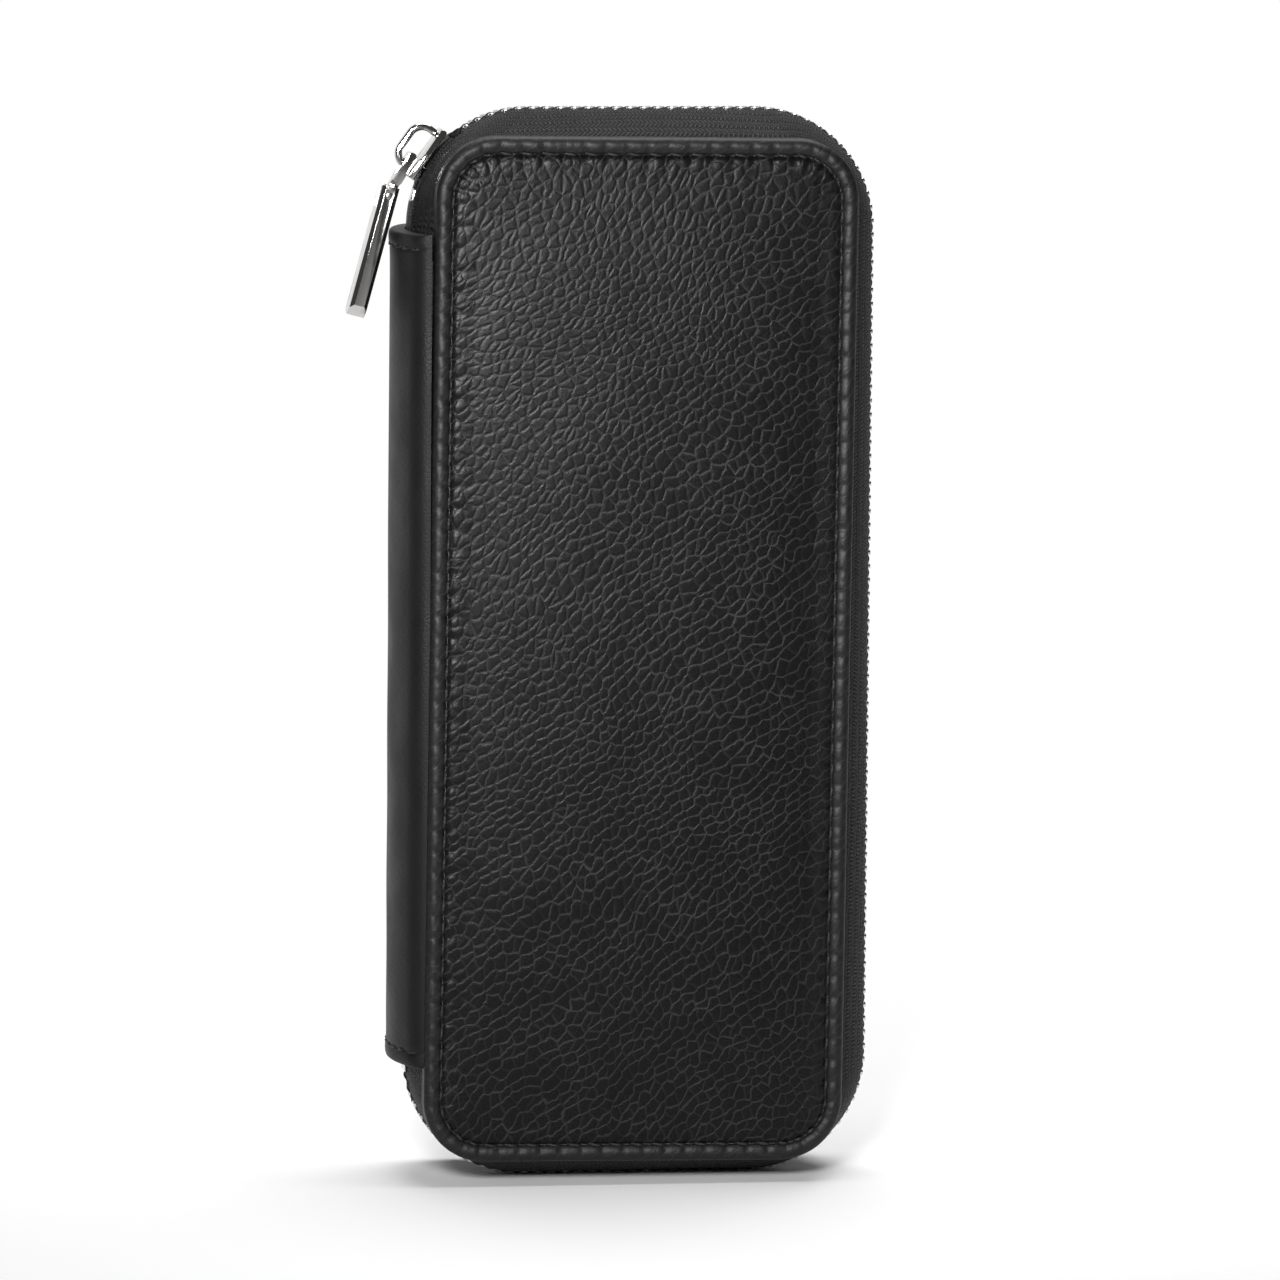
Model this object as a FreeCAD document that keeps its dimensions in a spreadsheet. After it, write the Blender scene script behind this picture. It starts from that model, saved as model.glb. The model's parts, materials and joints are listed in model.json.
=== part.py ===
import FreeCAD, Part
import Sketcher
import math
import os

# A zip-round leather pen case that stands on its zip, front towards -Y and spine towards -X.
# The origin is the middle of the standing base. Lengths are in millimetres and angles in degrees.

SIZES = [
    # leather panels
    ("panel_width", 68.0),
    ("panel_height", 165.0),
    ("panel_corner", 10.0),
    ("case_thickness", 28.0),
    ("leather_thickness", 1.2),
    ("padding_thickness", 1.2),
    ("board_thickness", 1.4),
    ("lining_thickness", 0.8),
    ("edge_round", 1.0),
    # saddle stitching round each panel
    ("stitch_inset", 2.7),
    ("stitch_pitch", 3.3),
    ("stitch_gap", 0.7),
    ("thread_size", 0.6),
    ("thread_sink", 0.05),
    ("thread_clearance", 0.2),
    # zip tape
    ("tape_thickness", 0.8),
    ("tape_inset", 0.5),
    ("flange_width", 4.0),
    ("flange_clearance", 0.2),
    ("ridge_top", 3.8),
    ("ridge_side", 4.6),
    ("ridge_corner", 19.0),
    ("base_height", 3.8),
    ("tape_end_tuck", 4.0),
    ("crown_half", 2.6),
    ("tape_edge", 1.3),
    # zip teeth
    ("tooth_pitch", 2.24),
    ("tooth_width", 1.05),
    ("tooth_proud", 0.35),
    ("tooth_leg", 1.0),
    ("tooth_gap", 0.12),
    ("tooth_clearance", 0.05),
    ("tooth_chamfer", 0.25),
    ("stop_length", 2.0),
    ("stop_clearance", 0.3),
    # spine
    ("spine_leather", 1.0),
    ("spine_board", 0.8),
    ("spine_lining", 0.6),
    ("spine_bulge", 2.4),
    ("spine_end_gap", 15.5),
    ("spine_hem", 4.0),
    ("spine_clearance", 0.45),
    ("fold_clearance", 0.3),
    ("fold_depth", 2.8),
    # zip tail that carries the slider at the spine's upper end
    ("tail_half_width", 3.4),
    ("tail_clearance", 0.3),
    ("tail_end_inset", 0.8),
    # pen loops
    ("backing_thickness", 0.8),
    ("backing_margin", 1.5),
    ("loop_bore_width", 14.0),
    ("loop_bore_depth", 13.2),
    ("loop_seam", 3.0),
    ("band_thickness", 0.8),
    ("band_width", 22.0),
    ("upper_band_height", 106.0),
    ("lower_band_height", 36.0),
    # slip pocket and pen flap on the front half
    ("pocket_thickness", 0.8),
    ("pocket_margin", 1.5),
    ("pocket_height", 104.0),
    ("thumb_notch", 9.0),
    ("flap_thickness", 1.0),
    ("flap_clearance", 0.3),
    ("flap_margin", 2.0),
    ("flap_corner", 6.0),
    # slider
    ("slider_angle", 36.0),
    ("slider_length", 9.4),
    ("slider_nose_width", 5.6),
    ("slider_mouth_width", 7.2),
    ("slider_plate", 1.0),
    ("slider_clearance", 0.25),
    ("slider_end_clearance", 1.0),
    ("post_length", 2.2),
    ("post_width", 1.8),
    ("post_inset", 0.6),
    # arched bail on the slider
    ("bail_length", 8.2),
    ("bail_height", 4.1),
    ("bail_band", 1.15),
    ("bail_width", 1.8),
    ("bail_corner", 2.8),
    # pull: link, pin and tab
    ("link_thickness", 1.5),
    ("link_length", 7.2),
    ("link_width", 3.9),
    ("link_arm", 0.75),
    ("link_neck", 2.2),
    ("link_neck_length", 3.3),
    ("link_window", 2.95),
    ("link_clearance", 0.4),
    ("link_droop", 4.0),
    ("pin_size", 1.2),
    ("pin_clearance", 0.1),
    ("fork_clearance", 0.25),
    ("fork_depth", 2.2),
    ("tab_length", 20.0),
    ("tab_width", 6.0),
    ("tab_thickness", 2.8),
    ("tab_head", 1.5),
    ("tab_tilt", 15.0),
    ("tab_chamfer", 0.6),
    ("tab_tip_bevel", 1.8),
]

LOOP_COUNT = 3
FRONT = -1
REAR = 1
SIDE_NAMES = {FRONT: "front", REAR: "rear"}

# How the tape swells from the panel to the crown: share of the depth, then share of the rise.
SWELL = [(0.0, 0.0), (0.35, 0.55), (0.72, 0.88), (0.9, 0.965), (1.0, 1.0)]
# Along the base the swell is pressed flat by the weight, and the crown draws in by the teeth's height.
BASE_SWELL = [0.0, 0.72, 1.0, 1.0]
BASE_PRESS = 0.05
# Where the first tooth of each row stands, in pitches from the notch: the rows are half a pitch apart.
FIRST_TOOTH = {FRONT: 0.75, REAR: 1.25}
# The largest share of its wall that a round or a bevel may take
ROUND_SHARE = 0.95
TIP_SHARE = 0.4
FACET_SHARE = 0.3

doc = FreeCAD.newDocument("pen_case")
sheet = doc.addObject("Spreadsheet::Sheet", "sizes")
for row, (alias, number) in enumerate(SIZES, start=1):
    sheet.set("A%d" % row, alias)
    sheet.set("B%d" % row, str(number))
    sheet.setAlias("B%d" % row, alias)
doc.recompute()

pieces = []


def vec(x, y, z):
    return FreeCAD.Vector(x, y, z)


def size(alias):
    return float(getattr(sheet, alias))


# Values worked out from the sheet, in the case's own frame

cover_depth = size("leather_thickness") + size("padding_thickness") + size("board_thickness")
half_thickness = size("case_thickness") / 2
half_width = size("panel_width") / 2
panel_bottom = size("base_height")
panel_top = panel_bottom + size("panel_height")
panel_inner = half_thickness - cover_depth
spine_total = size("spine_leather") + size("spine_board") + size("spine_lining")
fold_x = -(half_width + size("fold_clearance") + spine_total / 2)
fold_y = half_thickness - size("fold_depth")
spine_low = panel_bottom + size("spine_end_gap")
spine_high = panel_top - size("spine_end_gap")
spine_radius = (fold_y ** 2 + size("spine_bulge") ** 2) / (2 * size("spine_bulge"))
spine_centre_x = fold_x - size("spine_bulge") + spine_radius

ridge_left_rise = size("fold_clearance") + size("spine_bulge") - size("spine_clearance")
ridge_left = -half_width - ridge_left_rise
ridge_right = half_width + size("ridge_side")
ridge_high = panel_top + size("ridge_top")
ridge_low = size("tooth_proud")
corner_x = ridge_left + size("ridge_corner")
corner_z = ridge_high - size("ridge_corner")
tape_high_end = min(spine_high, corner_z) - size("tape_end_tuck")
tape_low_end = max(spine_low, ridge_low + size("ridge_corner")) + size("tape_end_tuck")

notch_half = size("tail_half_width") + size("tail_clearance")
slider_half_angle = math.degrees(size("slider_length") / 2 / size("ridge_corner"))
end_clearance_angle = math.degrees(size("slider_end_clearance") / size("ridge_corner"))
notch_angle = size("slider_angle") + slider_half_angle + end_clearance_angle


# Expressions that several sketches share

HALF_THICK = "sizes.case_thickness / 2"
COVER_DEPTH = "(sizes.leather_thickness + sizes.padding_thickness + sizes.board_thickness)"
SPINE_TOTAL = "(sizes.spine_leather + sizes.spine_board + sizes.spine_lining)"
FOLD_Y = "(sizes.case_thickness / 2 - sizes.fold_depth)"
SPINE_RADIUS = "((%s ^ 2 + sizes.spine_bulge ^ 2) / (2 * sizes.spine_bulge))" % FOLD_Y
LINING_INSET = "(sizes.tape_inset + sizes.flange_width + sizes.flange_clearance)"
SPINE_LOW = "(sizes.base_height + sizes.spine_end_gap)"
SPINE_LENGTH = "(sizes.panel_height - 2 * sizes.spine_end_gap)"


def value_of(expression):
    """The number that an expression gives for the sheet's present values."""
    return float(sheet.evalExpression(expression))


def keep(item, label):
    """Name a finished sub-part and list it for writing."""
    item.Label = label
    pieces.append(item)
    return item


def new_body(label):
    body = doc.addObject("PartDesign::Body", label)
    return keep(body, label)


def plane_of(body, role):
    return [item for item in body.Origin.OriginFeatures if item.Role == role][0]


def new_sketch(body, name, role, offset):
    """A sketch on one of the body's own planes, moved along its normal by an expression."""
    sketch = body.newObject("Sketcher::SketchObject", name)
    sketch.AttachmentSupport = [(plane_of(body, role), "")]
    sketch.MapMode = "FlatFace"
    sketch.setExpression("AttachmentOffset.Base.z", offset)
    return sketch


def bind(sketch, constraint, name, expression):
    """Add a dimension to a sketch and tie it to the sheet."""
    index = sketch.addConstraint(Sketcher.Constraint(*constraint, value_of(expression)))
    sketch.renameConstraint(index, name)
    sketch.setExpression("Constraints." + name, expression)


def rounded_outline(sketch, name, half_wide, low, high, radius):
    """A rectangle with round corners, given by four expressions, in the sketch's own x and y."""
    wide = value_of(half_wide)
    z_low = value_of(low)
    z_high = value_of(high)
    round_size = value_of(radius)
    first = sketch.GeometryCount
    corners = [
        (vec(wide - round_size, z_low + round_size, 0), -90),
        (vec(wide - round_size, z_high - round_size, 0), 0),
        (vec(-wide + round_size, z_high - round_size, 0), 90),
        (vec(-wide + round_size, z_low + round_size, 0), 180),
    ]
    arcs = []
    for centre, start in corners:
        circle = Part.Circle(centre, vec(0, 0, 1), round_size)
        arcs.append(Part.ArcOfCircle(circle, math.radians(start), math.radians(start + 90)))
    lines = []
    for place in range(4):
        lines.append(Part.LineSegment(arcs[place - 1].EndPoint, arcs[place].StartPoint))
    sketch.addGeometry(lines + arcs, False)
    for place in range(4):
        arc = first + 4 + place
        after = first + (place + 1) % 4
        sketch.addConstraint(Sketcher.Constraint("Tangent", first + place, 2, arc, 1))
        sketch.addConstraint(Sketcher.Constraint("Tangent", arc, 2, after, 1))
        if place:
            sketch.addConstraint(Sketcher.Constraint("Equal", first + 4, arc))
        direction = "Vertical" if place % 2 else "Horizontal"
        sketch.addConstraint(Sketcher.Constraint(direction, first + place))
    bind(sketch, ("Radius", first + 4), name + "_radius", radius)
    bind(sketch, ("DistanceX", -1, 1, first + 1, 1), name + "_right", half_wide)
    bind(sketch, ("DistanceX", first + 3, 1, -1, 1), name + "_left", half_wide)
    bind(sketch, ("DistanceY", -1, 1, first, 1), name + "_low", low)
    bind(sketch, ("DistanceY", -1, 1, first + 2, 1), name + "_high", high)


def panel_outline(sketch, name, inset):
    """The panel's outline, drawn in by an expression."""
    rounded_outline(
        sketch,
        name,
        "sizes.panel_width / 2 - (%s)" % inset,
        "sizes.base_height + (%s)" % inset,
        "sizes.base_height + sizes.panel_height - (%s)" % inset,
        "sizes.panel_corner - (%s)" % inset,
    )


def pad(body, sketch, name, length, middle=False, reverse=False):
    feature = body.newObject("PartDesign::Pad", name)
    feature.Profile = sketch
    feature.setExpression("Length", length)
    feature.Midplane = middle
    feature.Reversed = reverse
    doc.recompute()
    return feature


def pocket(body, sketch, name, length, middle=False, reverse=False):
    """Cut a sketch into the body, and check that it took material away."""
    before = body.Shape.Volume
    feature = body.newObject("PartDesign::Pocket", name)
    feature.Profile = sketch
    feature.setExpression("Length", length)
    feature.Midplane = middle
    feature.Reversed = reverse
    doc.recompute()
    if not body.Shape.Volume < before:
        raise ValueError("%s cuts nothing" % name)
    return feature


def layer_offset(side, depth, thickness):
    """Where a layer's sketch lies along -Y, for a layer this deep under the outer face."""
    if side == FRONT:
        return "%s - (%s) - (%s)" % (HALF_THICK, depth, thickness)
    return "(%s) - %s" % (depth, HALF_THICK)


def panel_layer(label, side, depth, thickness, inset):
    """One flat layer of a panel, with the panel's outline drawn in."""
    body = new_body(label)
    sketch = new_sketch(body, label + "_outline", "XZ_Plane", layer_offset(side, depth, thickness))
    panel_outline(sketch, "edge", inset)
    pad(body, sketch, label + "_pad", thickness)
    return body


def outer_edges(feature, side):
    """The edges round a cover's outer face."""
    outer_y = side * half_thickness
    names = []
    for index, edge in enumerate(feature.Shape.Edges, start=1):
        box = edge.BoundBox
        flat = abs(box.YMin - outer_y) < 1e-4 and abs(box.YMax - outer_y) < 1e-4
        if flat:
            names.append("Edge%d" % index)
    return names


def leather_cover(side):
    """Leather wrapped over the panel's face and turned down round its edge, grooved for the stitches."""
    label = SIDE_NAMES[side] + "_leather"
    body = panel_layer(label, side, "0", COVER_DEPTH, "0")
    skin = "sizes.leather_thickness"
    skin_place = "%s - %s" % (HALF_THICK, skin)
    skin_offset = skin_place if side == FRONT else "-(%s)" % skin_place
    recess = new_sketch(body, label + "_recess", "XZ_Plane", skin_offset)
    panel_outline(recess, "inside", skin)
    cut = pocket(body, recess, label + "_hollow", COVER_DEPTH + " - " + skin, reverse=side == REAR)
    fillet = body.newObject("PartDesign::Fillet", label + "_round")
    fillet.Base = (cut, outer_edges(cut, side))
    fillet.setExpression("Radius", "min(sizes.edge_round; sizes.leather_thickness * %g)" % ROUND_SHARE)
    doc.recompute()
    face_offset = HALF_THICK if side == FRONT else "-" + HALF_THICK
    ring = new_sketch(body, label + "_stitch_line", "XZ_Plane", face_offset)
    groove_half = "(sizes.thread_size / 2 + sizes.thread_clearance)"
    panel_outline(ring, "outer", "sizes.stitch_inset - " + groove_half)
    panel_outline(ring, "inner", "sizes.stitch_inset + " + groove_half)
    pocket(body, ring, label + "_groove", "sizes.thread_size + sizes.thread_sink", reverse=side == REAR)


def panel_layers(side):
    """Padding, board and lining under a leather cover."""
    name = SIDE_NAMES[side]
    leather = "sizes.leather_thickness"
    padding = "sizes.padding_thickness"
    panel_layer(name + "_padding", side, leather, padding, leather)
    panel_layer(name + "_board", side, leather + " + " + padding, "sizes.board_thickness", leather)
    panel_layer(name + "_lining", side, COVER_DEPTH, "sizes.lining_thickness", LINING_INSET)


def new_feature(label, shape):
    """A sub-part whose shape is worked out from the sheet's values."""
    item = doc.addObject("Part::Feature", label)
    item.Shape = shape
    return keep(item, label)


def arc_edge(centre, radius, start, finish):
    """An arc in the XZ plane, with angles from +X towards +Z."""
    points = []
    for angle in (start, (start + finish) / 2, finish):
        turn = math.radians(angle)
        points.append(centre + vec(radius * math.cos(turn), 0, radius * math.sin(turn)))
    return Part.Arc(*points).toShape()


def line_edge(start, finish):
    return Part.LineSegment(start, finish).toShape()


def open_outline(left, right, low, high, radius, y):
    """Edges of an outline that is open on the spine side, from its upper end to its lower end."""
    start = vec(left, y, tape_high_end)
    corners = [
        (vec(left + radius, y, high - radius), 180),
        (vec(right - radius, y, high - radius), 90),
        (vec(right - radius, y, low + radius), 0),
        (vec(left + radius, y, low + radius), -90),
    ]
    edges = []
    for centre, angle in corners:
        arc = arc_edge(centre, radius, angle, angle - 90)
        edges.append(line_edge(start, arc.Vertexes[0].Point))
        edges.append(arc)
        start = arc.Vertexes[-1].Point
    edges.append(line_edge(start, vec(left, y, tape_low_end)))
    return edges


def band_section(rises, radius, y, thickness):
    """A closed band between an open outline and the same outline drawn in by the band's thickness."""
    rise_left, rise_right, rise_low, rise_high = rises
    outlines = []
    for inset in (0.0, thickness):
        outlines.append(open_outline(
            -half_width - rise_left + inset,
            half_width + rise_right - inset,
            panel_bottom - rise_low + inset,
            panel_top + rise_high - inset,
            radius - inset,
            y,
        ))
    outside, inside = outlines
    caps = []
    for index in (0, -1):
        caps.append(line_edge(outside[index].Vertexes[index].Point, inside[index].Vertexes[index].Point))
    return Part.Wire(Part.__sortEdges__(outside + caps + inside))


def swelling_tape(side):
    """The wall of the tape, from the panel's inner face up to the teeth."""
    inset = size("tape_inset")
    depth = panel_inner - size("crown_half")
    foot_corner = size("panel_corner") - inset
    crown_low = panel_bottom - ridge_low
    sections = []
    for level, (reach, swell) in enumerate(SWELL):
        rises = [-inset + swell * (full + inset) for full in (
            ridge_left_rise, size("ridge_side"), 0.0, size("ridge_top"))]
        if level < len(BASE_SWELL):
            rises[2] = -inset + BASE_SWELL[level] * (panel_bottom + BASE_PRESS + inset)
        else:
            rises[2] = crown_low
        radius = foot_corner + swell * (size("ridge_corner") - foot_corner)
        y = side * (panel_inner - reach * depth)
        sections.append(band_section(rises, radius, y, size("tape_thickness")))
    edge_y = side * size("tape_edge")
    rises = (ridge_left_rise, size("ridge_side"), crown_low, size("ridge_top"))
    sections.append(band_section(rises, size("ridge_corner"), edge_y, size("tape_thickness")))
    return Part.makeLoft(sections, True, True)


def sewn_flange(side):
    """The flat edge of the tape that is sewn under the panel's rim."""
    inset = size("tape_inset")
    rises = (-inset, -inset, -inset, -inset)
    section = band_section(rises, size("panel_corner") - inset, side * panel_inner, size("flange_width"))
    return Part.Face(section).extrude(vec(0, -side * size("lining_thickness"), 0))


def corner_strip(inner_rise, outer_rise, low_z, high_angle, y_low, y_high):
    """A strip that follows the crown up the spine side and round the upper corner to an angle."""
    centre = vec(corner_x, y_low, corner_z)
    outlines = []
    for rise in (inner_rise, outer_rise):
        radius = size("ridge_corner") + rise
        arc = arc_edge(centre, radius, 180, 180 - high_angle)
        outlines.append([line_edge(vec(corner_x - radius, y_low, low_z), arc.Vertexes[0].Point), arc])
    inside, outside = outlines
    caps = []
    for index in (0, -1):
        caps.append(line_edge(outside[index].Vertexes[index].Point, inside[index].Vertexes[index].Point))
    wire = Part.Wire(Part.__sortEdges__(outside + caps + inside))
    return Part.Face(wire).extrude(vec(0, y_high - y_low, 0))


def zip_tape(side):
    """One half of the zip tape, cleared for the slider and its tail and pressed flat along the base."""
    tape = swelling_tape(side).fuse(sewn_flange(side)).removeSplitter()
    reach = size("ridge_corner") / 2
    notch = corner_strip(-reach, reach, tape_high_end - reach, notch_angle, -notch_half, notch_half)
    span = size("panel_height")
    under = Part.makeBox(span, span, span, vec(-span / 2, -span / 2, -span))
    new_feature(SIDE_NAMES[side] + "_zip_tape", tape.cut(notch).cut(under))


def ridge_runs():
    """The crown's path from the slider's notch to the lower spine end, as lines and arcs with lengths."""
    radius = size("ridge_corner")
    turn = math.radians(90)
    return [
        ("arc", (corner_x, corner_z, radius), 180 - notch_angle, radius * (turn - math.radians(notch_angle))),
        ("line", (corner_x, ridge_high), (1, 0), ridge_right - ridge_left - 2 * radius),
        ("arc", (ridge_right - radius, corner_z, radius), 90, radius * turn),
        ("line", (ridge_right, corner_z), (0, -1), ridge_high - ridge_low - 2 * radius),
        ("arc", (ridge_right - radius, ridge_low + radius, radius), 0, radius * turn),
        ("line", (ridge_right - radius, ridge_low), (-1, 0), ridge_right - ridge_left - 2 * radius),
        ("arc", (corner_x, ridge_low + radius, radius), -90, radius * turn),
        ("line", (ridge_left, ridge_low + radius), (0, 1), tape_low_end - ridge_low - radius),
    ]


def along_runs(runs, distance):
    """Where a path is at a distance from its start, and the angle of its outward normal from +X."""
    for kind, start, way, length in runs:
        if distance > length:
            distance -= length
            continue
        if kind == "arc":
            centre_x, centre_z, radius = start
            angle = way - math.degrees(distance / radius)
            turn = math.radians(angle)
            return centre_x + radius * math.cos(turn), centre_z + radius * math.sin(turn), angle
        x = start[0] + way[0] * distance
        z = start[1] + way[1] * distance
        return x, z, math.degrees(math.atan2(way[0], -way[1]))
    raise ValueError("past the end of the path")


def tooth_shape(side, width):
    """A tooth clamped over the tape's edge. It lies along X on the crown, with the crown's outside at Z 0."""
    tip = size("tooth_gap")
    edge = size("tape_edge")
    leg_end = edge + size("tooth_leg")
    proud = size("tooth_proud")
    under = -size("tape_thickness")
    bevel = size("tooth_chamfer")
    slot_high = size("tooth_clearance")
    slot_low = under - size("tooth_clearance")
    outline = [
        (tip, under), (tip, proud - bevel), (tip + bevel, proud), (leg_end, proud),
        (leg_end, slot_high), (edge, slot_high), (edge, slot_low), (leg_end, slot_low),
        (leg_end, under - proud), (tip + bevel, under - proud),
    ]
    points = [vec(-width / 2, side * y, z) for y, z in outline]
    wire = Part.makePolygon(points + points[:1])
    return Part.Face(wire).extrude(vec(width, 0, 0))


def set_on_path(shape, place):
    """Turn a shape that lies on the crown's top so that it sits at a place on the crown's path."""
    x, z, normal = place
    moved = shape.copy()
    moved.Placement = FreeCAD.Placement(vec(x, 0, z), FreeCAD.Rotation(vec(0, 1, 0), 90 - normal))
    return moved


def zip_teeth(side):
    """A row of teeth from the slider's notch round to a stop just below the spine's lower end."""
    runs = ridge_runs()
    length = sum(run[3] for run in runs) - (tape_low_end - spine_low) - size("stop_clearance")
    pitch = size("tooth_pitch")
    stop = size("stop_length")
    start = pitch * FIRST_TOOTH[side]
    tooth = tooth_shape(side, size("tooth_width"))
    count = int((length - start - stop - pitch) / pitch)
    row = [set_on_path(tooth, along_runs(runs, start + index * pitch)) for index in range(count)]
    new_feature(SIDE_NAMES[side] + "_zip_teeth", Part.makeCompound(row))
    end = set_on_path(tooth_shape(side, stop), along_runs(runs, length - stop / 2))
    new_feature(SIDE_NAMES[side] + "_end_stop", end)


def stitch_runs():
    """The closed stitch line of a panel, in the same form as the crown's path."""
    inset = size("stitch_inset")
    radius = size("panel_corner") - inset
    right = half_width - inset
    high = panel_top - inset
    low = panel_bottom + inset
    quarter = radius * math.radians(90)
    wide = 2 * (right - radius)
    tall = high - low - 2 * radius
    return [
        ("line", (radius - right, high), (1, 0), wide),
        ("arc", (right - radius, high - radius, radius), 90, quarter),
        ("line", (right, high - radius), (0, -1), tall),
        ("arc", (right - radius, low + radius, radius), 0, quarter),
        ("line", (right - radius, low), (-1, 0), wide),
        ("arc", (radius - right, low + radius, radius), -90, quarter),
        ("line", (-right, low + radius), (0, 1), tall),
        ("arc", (radius - right, high - radius, radius), 180, quarter),
    ]


def panel_stitching(side):
    """Separate stitches of thread that lie in the cover's groove."""
    runs = stitch_runs()
    length = sum(run[3] for run in runs)
    count = round(length / size("stitch_pitch"))
    pitch = length / count
    thread = size("thread_size")
    y = side * (half_thickness - size("thread_sink") - thread / 2)
    stitch_length = pitch - size("stitch_gap")
    stitch = Part.makeCylinder(thread / 2, stitch_length, vec(-stitch_length / 2, y, 0), vec(1, 0, 0))
    row = [set_on_path(stitch, along_runs(runs, (index + 0.5) * pitch)) for index in range(count)]
    new_feature(SIDE_NAMES[side] + "_stitching", Part.makeCompound(row))


def spine_layer(label, inner_rise, thickness, low, length):
    """A curved strip of the spine between the two folds, at a height above the spine's inner face."""
    body = new_body(label)
    sketch = new_sketch(body, label + "_section", "XY_Plane", low)
    inner = "%s - %s / 2 + %s" % (SPINE_RADIUS, SPINE_TOTAL, inner_rise)
    outer = "%s + %s" % (inner, thickness)
    centre = vec(spine_centre_x, 0, 0)
    spread = math.asin(fold_y / spine_radius)
    bands = []
    for radius in (value_of(inner), value_of(outer)):
        circle = Part.Circle(centre, vec(0, 0, 1), radius)
        bands.append(Part.ArcOfCircle(circle, math.pi - spread, math.pi + spread))
    ends = [
        Part.LineSegment(bands[0].StartPoint, bands[1].StartPoint),
        Part.LineSegment(bands[0].EndPoint, bands[1].EndPoint),
    ]
    sketch.addGeometry(bands + ends, False)
    for end in (1, 2):
        for band in (0, 1):
            sketch.addConstraint(Sketcher.Constraint("Coincident", band, end, end + 1, band + 1))
        sketch.addConstraint(Sketcher.Constraint("PointOnObject", 0, 3, end + 1))
    sketch.addConstraint(Sketcher.Constraint("Coincident", 0, 3, 1, 3))
    sketch.addConstraint(Sketcher.Constraint("PointOnObject", 0, 3, -1))
    sketch.addConstraint(Sketcher.Constraint("Symmetric", 0, 1, 0, 2, -1))
    bind(sketch, ("Radius", 0), "inner_radius", inner)
    bind(sketch, ("Radius", 1), "outer_radius", outer)
    fold = "(sizes.panel_width / 2 + sizes.fold_clearance + %s / 2)" % SPINE_TOTAL
    bind(sketch, ("DistanceX", 0, 3, -1, 1), "centre", "%s + sizes.spine_bulge - %s" % (fold, SPINE_RADIUS))
    bind(sketch, ("DistanceY", -1, 1, 0, 1), "end", "%s * (%s) / %s" % (FOLD_Y, inner, SPINE_RADIUS))
    pad(body, sketch, label + "_pad", length)


def spine():
    """Leather outside and a lining inside, with a thin board and a turned hem at each end between them."""
    lining = "sizes.spine_lining"
    board = "sizes.spine_board"
    hem = "sizes.spine_hem"
    upper_hem = "%s + %s - %s" % (SPINE_LOW, SPINE_LENGTH, hem)
    board_length = "%s - 2 * %s" % (SPINE_LENGTH, hem)
    spine_layer("spine_lining", "0", lining, SPINE_LOW, SPINE_LENGTH)
    spine_layer("spine_board", lining, board, SPINE_LOW + " + " + hem, board_length)
    spine_layer("lower_spine_hem", lining, board, SPINE_LOW, hem)
    spine_layer("upper_spine_hem", lining, board, upper_hem, hem)
    spine_layer("spine_leather", lining + " + " + board, "sizes.spine_leather", SPINE_LOW, SPINE_LENGTH)


def zip_tail():
    """The two tape ends that are joined under the spine's upper end and carry the slider there."""
    thickness = size("tape_thickness")
    half = size("tail_half_width")
    inside = size("tape_edge")
    top_angle = size("slider_angle") + slider_half_angle
    top_angle -= math.degrees(size("tail_end_inset") / size("ridge_corner"))
    strips = []
    for low, high in ((-half, -inside), (inside, half)):
        strips.append(corner_strip(-thickness, 0.0, tape_high_end, top_angle, low, high))
    joined_angle = math.degrees(size("tape_end_tuck") / 2 / size("ridge_corner"))
    joint = corner_strip(-thickness, 0.0, tape_high_end, joined_angle, -half, half)
    new_feature("zip_tail", strips[0].multiFuse([strips[1], joint]).removeSplitter())
    stop_angle = size("slider_angle") - slider_half_angle - end_clearance_angle
    stop_angle -= math.degrees(size("stop_length") / 2 / size("ridge_corner"))
    turn = math.radians(stop_angle)
    radius = size("ridge_corner")
    place = (corner_x - radius * math.cos(turn), corner_z + radius * math.sin(turn), 180 - stop_angle)
    stop = Part.makeBox(
        size("stop_length"), 2 * inside, thickness + 2 * size("tooth_proud"),
        vec(-size("stop_length") / 2, -inside, -thickness - size("tooth_proud")),
    )
    new_feature("zip_top_stop", set_on_path(stop, place))


def primitive(kind, name, turn=0, **expressions):
    """A plain Part primitive, turned about Z, with its sizes and its place tied to the sheet."""
    item = doc.addObject("Part::" + kind, name)
    item.Placement = FreeCAD.Placement(vec(0, 0, 0), FreeCAD.Rotation(vec(0, 0, 1), turn))
    for key, expression in expressions.items():
        if key in ("x", "y", "z"):
            item.setExpression("Placement.Base." + key, expression)
        else:
            item.setExpression(key, expression)
    return item


def combine(kind, name, base, tool=None):
    """A Part boolean: a cut of two objects, or a fuse of several."""
    item = doc.addObject("Part::" + kind, name)
    if kind == "Cut":
        item.Base = base
        item.Tool = tool
    else:
        item.Shapes = base
    return item


LOOP_STEP = "(sizes.loop_bore_width + sizes.loop_seam)"
BACKING_FACE = "(%s - %s - sizes.lining_thickness - sizes.backing_thickness)" % (HALF_THICK, COVER_DEPTH)


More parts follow.
